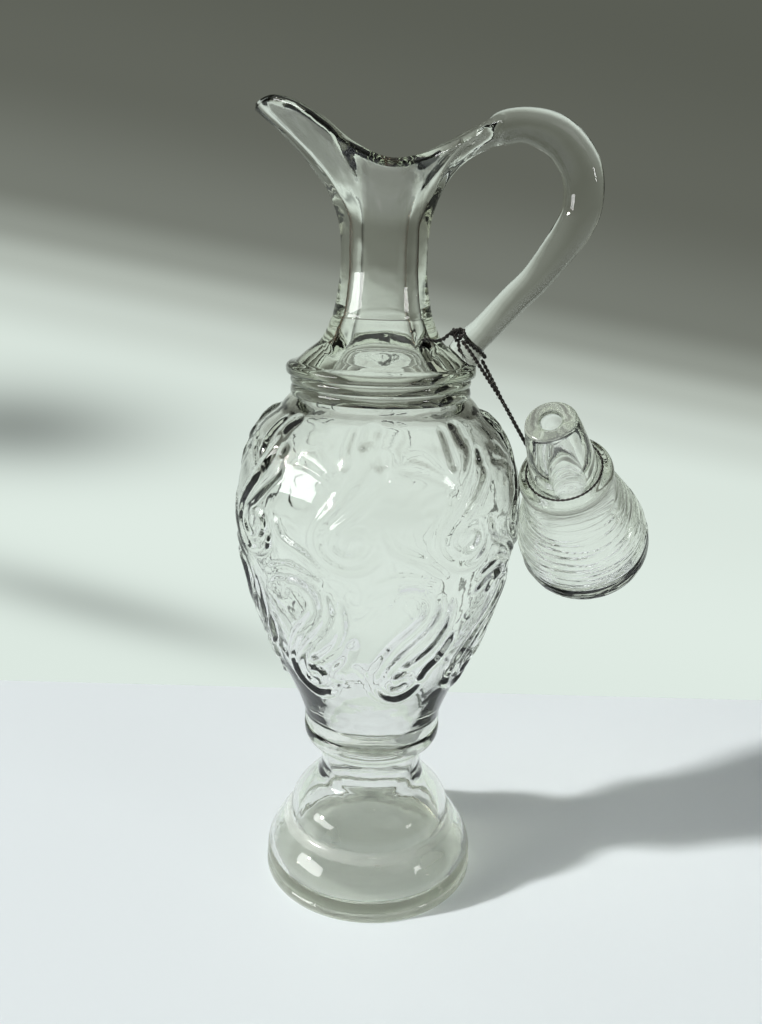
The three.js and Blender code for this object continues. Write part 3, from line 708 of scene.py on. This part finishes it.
# Bends of the lip, as shares of its rise and of its reach: how straight it leaves the tube, how wide it
# flares, and how it rises at last to the rim, at the sides and how much more towards the handle or spout
OUTER_START, OUTER_REAR_START, OUTER_FLARE = 0.37, 0.1, 0.65
OUTER_RISE, OUTER_REAR_RISE = 0.215, 0.14
INNER_START, INNER_FLARE = 0.3, 0.6
INNER_RISE, INNER_SPOUT_RISE, INNER_REAR_RISE = 0.15, 0.23, 0.07
# The inside: how far above the tube it starts, and how far below the rim its bend and its edge lie
INNER_BASE, INNER_SINK, INNER_EDGE = LIP_BASE + 6, 0.3, 0.5


def rim_at(turns):
    """Radius and height of the rim at each angle"""
    half = [
        (a, SADDLE_RADIUS + (REAR_RADIUS - SADDLE_RADIUS) * out, SADDLE_Z + REAR_RISE * up)
        for a, out, up in REAR_RIM
    ]
    half.append((90, SADDLE_RADIUS, SADDLE_Z))
    half += [
        (a, SADDLE_RADIUS + (SPOUT_RADIUS - SADDLE_RADIUS) * out, SADDLE_Z + SPOUT_RISE * up)
        for a, out, up in SPOUT_RIM
    ]
    whole = half + [(360 - a, r, z) for a, r, z in half[-2:0:-1]]
    whole = whole[-3:] + whole + whole[:3]
    line = spline([
        (r * math.cos(math.radians(a)), r * math.sin(math.radians(a)), z) for a, r, z in whole
    ], 1600)
    turn = np.unwrap(np.arctan2(line[:, 1], line[:, 0]))
    turn += 2 * math.pi * round((math.radians(whole[0][0] - 360) - turn[0]) / (2 * math.pi))
    radius = np.hypot(line[:, 0], line[:, 1])
    return np.interp(turns, turn, radius), np.interp(turns, turn, line[:, 2])


def lip_rings():
    """Rings of the lip's outside, its rounded crest and its inside, from the neck's tube and back to it"""
    turns = angles(SIDES)
    radius, height = rim_at(turns)
    signed = (turns + math.pi) % (2 * math.pi) - math.pi
    depth = REAR_DEPTH + (SIDE_DEPTH - REAR_DEPTH) * smooth_step(np.abs(signed) / PULL_HALF_ANGLE)
    outside, inside = [], []
    for turn, r, z, d in zip(turns, radius, height, depth):
        rearward = math.cos(turn)
        rise = z - d - LIP_BASE
        start = rise * (OUTER_START + OUTER_REAR_START * max(0, rearward))
        last = rise * (OUTER_RISE - OUTER_REAR_RISE * rearward)
        outside.append(bezier(
            (TUBE_RADIUS, LIP_BASE), (TUBE_RADIUS, LIP_BASE + start),
            (r - (r - TUBE_RADIUS) * OUTER_FLARE, z - d - last), (r, z - d), LIP_STEPS,
        )[1:])
        rise = z - INNER_SINK - INNER_BASE
        last = INNER_RISE + (INNER_SPOUT_RISE * -rearward if rearward < 0 else INNER_REAR_RISE * rearward)
        across = r - LIP_WALL - BORE_RADIUS
        inside.append(bezier(
            (BORE_RADIUS, INNER_BASE), (BORE_RADIUS, INNER_BASE + rise * INNER_START),
            (r - LIP_WALL - across * INNER_FLARE, z - INNER_SINK - rise * last),
            (r - LIP_WALL, z - INNER_EDGE), LIP_STEPS,
        )[::-1])
    crest = []
    for share in CREST_SHARES:
        back = LIP_WALL / 2 * (1 - math.cos(math.pi * share))
        crest.append((radius - back, height - CREST_HEIGHT * (1 - math.sin(math.pi * share))))
    rings = []
    add_round_rings(rings, np.array(outside).transpose(1, 2, 0), SIDES)
    add_round_rings(rings, crest, SIDES)
    add_round_rings(rings, np.array(inside)[::2].transpose(1, 2, 0), INNER_SIDES)
    return rings


# Relief on the bowl: eight alike motifs. Each stroke is a rounded ridge: its half width and height, and
# the points it runs through, in degrees round the bowl and millimetres above the table.
MOTIFS = 8
STROKES = [
    # upper scroll: outer ridge down to the spiral, inner ridge that winds into it, and its two bulbs
    (2.5, 1.25, [
        (-1, 178), (-4, 171), (-9, 164), (-16, 156), (-21, 150), (-22.5, 145), (-20, 140.5), (-14, 137),
        (-7, 136.5), (-1, 139.5), (0.5, 144),
    ]),
    (2.1, 1.15, [
        (2, 168), (2.5, 164), (-3, 159), (-10, 153), (-15.5, 148.5), (-17, 144), (-12.5, 140.5), (-6.5, 141),
        (-3, 145), (-5, 148.8), (-10, 148.5), (-12, 145),
    ]),
    (3.3, 1.5, [(-3, 179), (-4.5, 176.5), (-4.5, 174.5)]),
    (2.4, 1.3, [(1.5, 171.5), (1, 169)]),
    # veins that join the stem from the left, and the narrow drop beside it
    (1.3, 0.55, [(-34, 172), (-25, 169.5), (-17, 165), (-11, 160)]),
    (1.3, 0.55, [(-37, 168), (-27, 166.5), (-18, 163), (-13, 158.5)]),
    (1.8, 1.0, [(-13, 179), (-14, 173), (-13, 167)]),
    (1.2, 0.5, [(10, 170), (15, 172), (20, 171), (24, 167)]),
    # scalloped top edge of the lower leaf
    (2.0, 1.0, [(3, 150), (7, 144), (14, 141), (20, 138.5), (27, 134)]),
    (1.5, 0.7, [(-2, 131), (9, 134.5), (17, 133.5), (24, 131)]),
    (1.4, 0.6, [(-2, 125), (7, 129), (23, 129)]),
    # lower leaf: hooked outer ridge round to the spiral, and the ridges beside it
    (2.3, 1.3, [
        (7, 124), (10, 128.5), (15, 129), (20, 126), (21, 120.5), (16.5, 115), (10, 109.5), (4, 102), (0, 95),
        (1, 89), (7, 85), (14, 84), (21, 86), (26, 90),
    ]),
    (2.0, 1.15, [
        (26, 126), (27, 120), (22.5, 113), (15, 106.5), (8, 99.5), (6, 94), (9, 89.5), (15, 89.3), (19, 92),
        (17, 95.5), (12.5, 95), (12, 92.8),
    ]),
    (1.9, 1.0, [(32, 124), (32, 115), (28, 107.5), (20, 101.5), (14, 98.5)]),
    (2.4, 1.3, [(37, 110), (33, 102), (28, 97.5), (25.5, 92)]),
    (1.2, 0.55, [(-15, 97), (-10, 99.5), (-5, 97), (-2, 92)]),
]
RELIEF_SCALE = 0.85
RELIEF_SINK = 1.16
RELIEF_FADE = 6
STROKE_POINTS = 14
# Strokes thin out to their ends: over this share of their length, down to this share of their size
TAPER_REACH, TAPER_LEAST = 0.09, 0.25


def relief(bowl):
    """How far each vertex of the bowl's outside stands out: one row for each ring, one column a side"""
    run = run_of(bowl)
    columns = FINE_SIDES // MOTIFS
    turn = np.arange(columns) * 360 / FINE_SIDES
    height = np.zeros((len(bowl), columns))
    for half_width, rise, points in STROKES:
        line = spline(points, STROKE_POINTS * len(points))
        line_run = np.interp(line[:, 1], bowl[:, 1], run)
        share = np.linspace(0, 1, len(line))
        taper = np.clip(np.minimum(share, 1 - share) / TAPER_REACH, TAPER_LEAST, 1)**0.5
        for copy in (-1, 0, 1, 2):
            across = turn[None, :, None] - line[None, None, :, 0] - copy * 360 / MOTIFS
            across = np.radians(across) * bowl[:, 0][:, None, None]
            up = (run[:, None] - line_run[None, :])[:, None, :]
            near = np.sqrt(across**2 + up**2) / (half_width * taper)
            best = near.argmin(2)
            least = np.take_along_axis(near, best[..., None], 2)[..., 0]
            ridge = np.clip(1 - least**2, 0, 1) * rise * RELIEF_SCALE * taper[best]
            height = np.maximum(height, ridge)
    edge = np.minimum(run, run[-1] - run) / RELIEF_FADE
    return np.tile((height - RELIEF_SINK) * smooth_step(edge)[:, None], MOTIFS)


def bowl_rings():
    bowl = bowl_profile()
    stand = relief(bowl)
    along = directions(bowl)
    front = FINE_SIDES * 3 // 4
    rings = []
    for (r, z), (dr, dz), out in zip(bowl, along, stand):
        out = np.roll(out, front)
        rings.append(round_ring(r + out * dz, z - out * dr, FINE_SIDES))
    return rings


def vessel_body():
    rings = [on_axis(0)]
    add_round_rings(rings, foot_profile(), SIDES)
    add_round_rings(rings, knop_profile(), SIDES)
    rings.extend(bowl_rings())
    add_round_rings(rings, band_profile(), SIDES)
    add_round_rings(rings, bell_profile(), SIDES)
    rings.extend(lip_rings())
    add_round_rings(rings, inner_profile(), INNER_SIDES)
    rings.append(on_axis(HOLLOW_FLOOR))
    return ring_body(rings)


# Handle: an oval rod in the plane y = 0. Each place is its centre's x and z and its radius there.
HANDLE = [
    (33.2, 267.0, 3.9), (36.7, 268.8, 5.2), (43.4, 269.9, 5.3), (51, 268.3, 6.0), (57, 264.5, 6.4),
    (62.2, 257.3, 6.6), (63.7, 248.3, 6.5), (61.4, 239.6, 6.2), (51.4, 224.6, 5.1), (43.2, 215.9, 4.9),
    (35.0, 206.8, 4.8), (30.4, 202.2, 5.1), (27.6, 197.6, 5.9), (25.8, 194.0, 6.2),
]
CROWN_DEPTH, ROOT_DEPTH = 6.2, 5.6
ROD_SIDES = 36


def handle_rod():
    route = spline(HANDLE, 92)
    centres = np.stack([route[:, 0], 0 * route[:, 0], route[:, 1]], 1)
    along = directions(centres)
    sides = np.stack([along[:, 2], 0 * along[:, 0], -along[:, 0]], 1)
    depth = np.linspace(CROWN_DEPTH, ROOT_DEPTH, len(route))
    turn = angles(ROD_SIDES)
    rings = [centres[:1]]
    for centre, side, radius, deep in zip(centres, sides, route[:, 2], depth):
        level = np.stack([0 * turn, deep * np.sin(turn), 0 * turn], 1)
        rings.append(centre + side * (radius * np.cos(turn))[:, None] + level)
    rings.append(centres[-1:])
    return ring_body(rings)


def join_glass(piece, other):
    """Fuses other into piece, as glass fuses"""
    cut = piece.modifiers.new("fuse", "BOOLEAN")
    cut.operation = "UNION"
    cut.solver = "MANIFOLD"
    cut.object = other
    bpy.context.view_layer.update()
    fused = bpy.data.meshes.new_from_object(piece.evaluated_get(bpy.context.evaluated_depsgraph_get()))
    piece.modifiers.clear()
    piece.data = fused
    bpy.data.objects.remove(other)


# Seams of the handle, at the lip and at its root. Where they bend more than an angle they are smoothed, with
# the points up to a few edges away, a few times over.
SEAM_BOXES = [((32, -9, 258), (44, 9, 276)), ((14, -9, 193), (36, 9, 208))]
SEAM_ANGLE, SEAM_REACH, SEAM_TURNS = math.radians(25), 2, 4
# Edges that bend more than this, in degrees, are shaded as sharp
SHARP_ANGLE = 50


def soften(piece):
    """Rounds the seams of fused glass inside the seam boxes"""
    mesh = bmesh.new()
    mesh.from_mesh(piece.data)
    near = []
    for v in mesh.verts:
        place = v.co / MM
        if any(all(low[i] <= place[i] <= high[i] for i in range(3)) for low, high in SEAM_BOXES):
            near.append(v)
    seam = [v for v in near if any(
        len(e.link_faces) == 2 and e.calc_face_angle(0) > SEAM_ANGLE for e in v.link_edges
    )]
    ring = set(seam)
    for _ in range(SEAM_REACH):
        ring |= {e.other_vert(v) for v in ring for e in v.link_edges}
    for _ in range(SEAM_TURNS):
        bmesh.ops.smooth_vert(
            mesh, verts=list(ring), factor=0.5, use_axis_x=True, use_axis_y=True, use_axis_z=True,
        )
    mesh.to_mesh(piece.data)
    mesh.free()


# Wear and painted highlight of the vessel: its underside is ground, and the foot's ledge, between these
# heights and radii, is whitened as a painted highlight
BASE_WEAR, BASE_TOP = 0.55, 0.6
LEDGE_HIGHLIGHT = 0.5
LEDGE_LOW, LEDGE_HIGH = 19.2, 22.2
LEDGE_INNER, LEDGE_OUTER = 29.8, 33.4


def wear_and_highlight_at(place):
    if place.z < BASE_TOP:
        return BASE_WEAR
    radius = math.hypot(place.x, place.y)
    # The foot's ledge gets a painted highlight
    on_ledge = LEDGE_LOW < place.z < LEDGE_HIGH and LEDGE_INNER < radius < LEDGE_OUTER
    return LEDGE_HIGHLIGHT if on_ledge else 0


def make_vessel():
    vessel = mesh_object("vessel", *vessel_body(), GLASS)
    handle = mesh_object("handle_rod", *handle_rod(), GLASS)
    join_glass(vessel, handle)
    soften(vessel)
    vessel.data.shade_smooth()
    vessel.data.set_sharp_from_angle(angle=math.radians(SHARP_ANGLE))
    mark_wear_and_highlight(vessel, [wear_and_highlight_at(v.co / MM) for v in vessel.data.vertices])
    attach(vessel, "root")
    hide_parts("foot", "knop_ring", "bowl", "shoulder_band", "neck", "handle")


make_vessel()

# Stopper, in its own frame: the tip of the plug is the origin and the head points to -Z
STOPPER_SIDES = 144
STOPPER_INNER_SIDES = 72
HEAD = [(0, 0), (0.15, 0.16), (0.52, 0.37), (0.86, 0.6), (0.97, 0.79), (1, 0.91), (0.9, 1)]
HEAD_TOP = -31.0
HEAD_BASE = -74.0
HEAD_END = HEAD_BASE - 1.8
HEAD_CAP = [(6, -75.7), (12, -75.3), (16, -74.8), (18.6, -74.3), (19.9, -74.05)]
FLANGE = [
    (14.5, -30.95), (15.0, -30.3), (15.55, -29.2), (15.6, -28.2), (15.3, -27.0), (14.4, -26.2),
    (12.6, -25.95), (11.5, -25.6),
]
PLUG = [
    (PLUG_RADIUS, -24.9), (10.8, -20), (9.95, -13), (9.1, -6), (8.35, -1.6), (8.1, -0.75), (7.6, -0.15),
    (6.9, 0),
]
MOUTH = [(4.4, 0), (3.75, -0.25), (3.4, -0.9), (3.9, -6), (4.9, -15), (6, -26), (6, -31)]
HOLLOW = [
    (6.6, -32.6), (10.5, -36.4), (12.9, -44), (15.8, -53), (17.6, -62), (17.9, -68), (16.4, -71),
    (9, -72.6),
]
HOLLOW_END = -72.8
# Ground tip: how worn it is, how far up it is ground, and the edge of its mouth
TIP_WEAR, TIP_REACH, TIP_EDGE = 0.35, -0.8, 3.9
# Tool marks: how many, the share of the head they start and end at, how they crowd towards its base, how
# far they wander, half their width, and their least height and what strength adds. The head is sunk under
# them, and they fade out near its ends.
TOOL_MARKS, MARKS_START, MARKS_END, MARKS_CROWD = 22, 0.1, 0.95, 0.8
MARK_WANDER, MARK_HALF_WIDTH = (0.2, 0.9), (0.3, 0.5)
MARK_LEAST, MARK_MORE = 0.1, 0.36
MARK_SINK = 0.2
CALM_TOP_REACH, CALM_BASE_REACH = 3, 2.5


def head_outline():
    outline = stretch((14.8, HEAD_TOP), (22.7, HEAD_BASE), HEAD)
    return even(spline(outline, 300), 150)


def tool_marks(run, turns, chance):
    """Height of the fine tooled ridges round the head: uneven, wandering and closer towards its base"""
    height = np.zeros((len(run), len(turns)))
    places = run[-1] * (np.linspace(MARKS_START, MARKS_END, TOOL_MARKS)**MARKS_CROWD)
    for place in places:
        wander = sum(
            chance.uniform(*MARK_WANDER) * np.sin(n * turns + chance.uniform(0, 2 * math.pi))
            for n in (1, 2, 3)
        )
        strength = 0.5 + 0.5 * np.sin(chance.randint(2, 5) * turns + chance.uniform(0, 2 * math.pi))
        half_width = chance.uniform(*MARK_HALF_WIDTH)
        off = (run[:, None] - place - wander[None, :]) / half_width
        height += np.exp(-off**2) * (MARK_LEAST + MARK_MORE * strength[None, :])
    return height


def stopper_body():
    chance = np.random.RandomState(11)
    turns = angles(STOPPER_SIDES)
    head = head_outline()[::-1]
    run = run_of(head)[-1] - run_of(head)
    marks = tool_marks(run[::-1], turns, chance)[::-1]
    calm = smooth_step(run / CALM_TOP_REACH)[:, None] * smooth_step((run[0] - run) / CALM_BASE_REACH)[:, None]
    rings = [on_axis(HEAD_END)]
    add_round_rings(rings, HEAD_CAP, STOPPER_SIDES)
    for (r, z), (dr, dz), out in zip(head, directions(head), marks * calm - MARK_SINK):
        rings.append(round_ring(r + out * dz, z - out * dr, STOPPER_SIDES))
    add_round_rings(rings, np.vstack([spline(FLANGE, 22), spline(PLUG, 22)]), STOPPER_SIDES)
    add_round_rings(rings, np.vstack([spline(MOUTH, 24), spline(HOLLOW, 34)]), STOPPER_INNER_SIDES)
    rings.append(on_axis(HOLLOW_END))
    return ring_body(rings)


def make_stopper():
    vertices, faces = stopper_body()
    whitened = (vertices[:, 2] > TIP_REACH) & (np.hypot(vertices[:, 0], vertices[:, 1]) > TIP_EDGE)
    turn = Vector((0, 0, -1)).rotation_difference(STOPPER_AXIS).to_matrix()
    vertices = vertices @ np.array(turn).T + np.array(STOPPER_TIP)
    stopper = mesh_object("stopper_glass", vertices, faces, GLASS, sharp_degrees=SHARP_ANGLE)
    mark_wear_and_highlight(stopper, whitened * TIP_WEAR)
    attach(stopper, "stopper")
    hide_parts("stopper_plug", "stopper_flange", "stopper_head")


make_stopper()

# Setting: a pale cloth that ends at a wall, on which the daylight fades upwards and to the right. In
# metres. The wall shows from the front only, to rays that show a surface, and light passes it. Seen
# along its face, from the side, it fades out.
WALL_PLACE = 0.138
WALL_WIDTH, WALL_HEIGHT = 3.2, 0.9
WALL_TILT, TILT_REACH = 0.17, 0.25
WALL_SPAN = 0.5
WALL_GRAZE = 0.4, 0.62
FLOOR_REACH = 40
FLOOR_Z = -0.15
CLOTH = (0.74, 0.8, 0.82)
CLOTH_ROUGHNESS, CLOTH_SHINE = 0.9, 0.1
CLOTH_REACH = 0.35, 0.75
BACKDROP = (0.102, 0.109, 0.089)
HORIZON = (0.16, 0.17, 0.14)
CEILING = (0.6, 0.63, 0.58)
ROOM_TONES = [(0, HORIZON), (0.15, HORIZON), (0.75, CEILING)]
ROOM_LIGHT, ROOM_COLOUR = 0.22, (0.97, 0.99, 1, 1)
# Low daylight from the left and a little in front, as through a veiled window
KEY_LIGHT, KEY_COLOUR, KEY_WIDTH = 4.9, (1, 0.985, 0.96), math.radians(4)
KEY_LEVEL, KEY_HEADING = math.radians(24), math.radians(14.5)
# Soft lamps: name, place, the height they are aimed at above the middle of the foot, size and power
SOFTBOXES = [
    ("window", (-1.2, -0.48, 0.45), 0.14, (0.75, 0.3), 6.2),
    ("glint", (1.05, -0.62, 0.52), 0.16, (0.2, 0.14), 0.8),
    ("fill", (1.3, -1.5, 1.6), 0.15, (1.0, 0.7), 1.5),
]
# Tones up the wall, by share of the span, and of the floor round the table, by share of its far distance.
# Beyond the cloth the floor glows in these tones, painted light that darkens towards the horizon.
WALL_TONES = [
    (0, (0.72, 0.81, 0.75)), (0.14, (0.74, 0.83, 0.77)), (0.3, (0.7, 0.785, 0.725)),
    (0.35, (0.58, 0.645, 0.59)), (0.385, (0.44, 0.485, 0.435)), (0.415, (0.28, 0.305, 0.268)),
    (0.45, (0.18, 0.194, 0.166)), (0.56, (0.122, 0.13, 0.108)), (0.7, BACKDROP),
]
# Soft shadows on the wall: middle, reach each way, fall to the right and depth
WALL_SHADES = [((-0.185, 0.141), (0.075, 0.022), 0.0, 0.6), ((-0.15, 0.046), (0.1, 0.015), 0.25, 0.36)]
FLOOR_FAR = 6
FLOOR_TONES = [(0, (0.7, 0.78, 0.73)), (0.1, (0.62, 0.68, 0.63)), (0.25, (0.36, 0.39, 0.34)), (0.6, HORIZON)]


def seen_rays(tree):
    """1 for rays that show a surface: straight from the camera, mirrored or through glass"""
    seen = add_node(tree, "LightPath", "Is Camera Ray")
    for kind in ("Is Glossy Ray", "Is Transmission Ray"):
        seen = add_math(tree, "MAXIMUM", seen, add_node(tree, "LightPath", kind))
    return seen


def make_floor():
    material, tree, cloth, output = new_material("floor")
    feed_all(tree, cloth, {
        "Base Color": (*CLOTH, 1), "Roughness": CLOTH_ROUGHNESS, "Specular IOR Level": CLOTH_SHINE,
    })
    distance = add_math(tree, "LENGTH", add_node(tree, "TexCoord", "Object"), kind="VectorMath")
    tone = add_ramp(tree, add_math(tree, "DIVIDE", distance, FLOOR_FAR), FLOOR_TONES)
    # Painted light: beyond the cloth the floor glows in tones that darken with distance
    room = add_node(tree, "Emission", "Emission", {"Color": tone})
    shown = add_math(tree, "MULTIPLY", add_range(tree, distance, *CLOTH_REACH), seen_rays(tree))
    feed(tree, output["Surface"], add_mix(tree, shown, tree.nodes["Principled BSDF"].outputs["BSDF"], room))
    far = FLOOR_REACH / MM
    corners = [(x * far, y * far, FLOOR_Z) for x, y in ((-1, -1), (1, -1), (1, 1), (-1, 1))]
    mesh_object("floor", corners, [(0, 1, 2, 3)], material)


def wall_light(tree, x, z):
    """Share of the light that the soft shadows leave on the wall"""
    left = 1
    for (middle_x, middle_z), (wide, high), fall, depth in WALL_SHADES:
        aside = add_math(tree, "SUBTRACT", x, middle_x)
        above = add_math(tree, "MULTIPLY_ADD", aside, fall, add_math(tree, "SUBTRACT", z, middle_z))
        across = add_math(tree, "DIVIDE", aside, wide)
        up = add_math(tree, "DIVIDE", above, high)
        off = add_math(tree, "MULTIPLY_ADD", up, up, add_math(tree, "MULTIPLY", across, across))
        spot = add_math(tree, "EXPONENT", add_math(tree, "MULTIPLY", off, -1))
        left = add_math(tree, "MULTIPLY", add_math(tree, "MULTIPLY_ADD", spot, -depth, 1), left)
    return left


def make_wall():
    material, tree, _, output = new_material("wall")
    x, _, z = split_place(tree)
    near = add_math(tree, "MINIMUM", x, TILT_REACH)
    near = add_math(tree, "MAXIMUM", near, -TILT_REACH)
    height = add_math(tree, "MULTIPLY_ADD", near, WALL_TILT, z)
    tone = add_ramp(tree, add_math(tree, "DIVIDE", height, WALL_SPAN), WALL_TONES, "EASE")
    lit = add_node(tree, "Emission", "Emission", {"Color": tone, "Strength": wall_light(tree, x, z)})
    front = add_math(tree, "SUBTRACT", 1, add_node(tree, "NewGeometry", "Backfacing"))
    incoming, normal = (add_node(tree, "NewGeometry", name) for name in ("Incoming", "Normal"))
    facing = add_math(tree, "DOT_PRODUCT", incoming, normal, kind="VectorMath")
    head_on = add_range(tree, facing, *WALL_GRAZE)
    bent = add_math(tree, "SUBTRACT", 1, add_node(tree, "LightPath", "Is Camera Ray"))
    shown = add_math(tree, "MULTIPLY", front, add_math(tree, "MAXIMUM", head_on, bent))
    shown = add_math(tree, "MULTIPLY", shown, seen_rays(tree))
    clear = add_node(tree, "BsdfTransparent", "BSDF")
    feed(tree, output["Surface"], add_mix(tree, shown, clear, lit))
    half, top, back = WALL_WIDTH / 2 / MM, WALL_HEIGHT / MM, WALL_PLACE / MM
    corners = [(-half, back, FLOOR_Z), (half, back, FLOOR_Z), (half, back, top), (-half, back, top)]
    mesh_object("wall", corners, [(0, 1, 2, 3)], material)


def make_world():
    world = bpy.data.worlds.new("room")
    world.use_nodes = True
    tree = world.node_tree
    lit = tree.nodes["Background"]
    lit.inputs["Color"].default_value = ROOM_COLOUR
    lit.inputs["Strength"].default_value = ROOM_LIGHT
    tone = add_ramp(tree, split_place(tree, "Generated")[2], ROOM_TONES)
    seen = add_node(tree, "Background", "Background", {"Color": tone})
    surface = add_mix(tree, seen_rays(tree), lit.outputs["Background"], seen)
    feed(tree, tree.nodes["World Output"].inputs["Surface"], surface)
    bpy.context.scene.world = world


def add_lamp(data, way):
    """A lamp that shines along the given direction and isn't seen through the glass"""
    lamp = bpy.data.objects.new(data.name, data)
    lamp.visible_transmission = False
    bpy.context.scene.collection.objects.link(lamp)
    lamp.rotation_euler = way.to_track_quat("-Z", "Y").to_euler()
    return lamp


def add_key():
    data = bpy.data.lights.new("key", "SUN")
    data.energy = KEY_LIGHT
    data.angle = KEY_WIDTH
    data.color = KEY_COLOUR
    level = math.cos(KEY_LEVEL)
    way = level * math.cos(KEY_HEADING), level * math.sin(KEY_HEADING), -math.sin(KEY_LEVEL)
    add_lamp(data, Vector(way))


def add_softbox(name, place, aim, size, power):
    data = bpy.data.lights.new(name, "AREA")
    data.shape = "RECTANGLE"
    data.size, data.size_y = size
    data.energy = power
    lamp = add_lamp(data, Vector((0, 0, aim)) - Vector(place))
    lamp.location = place


make_floor()
make_wall()
make_world()
add_key()
for softbox in SOFTBOXES:
    add_softbox(*softbox)

bpy.context.scene.view_settings.view_transform = "Standard"
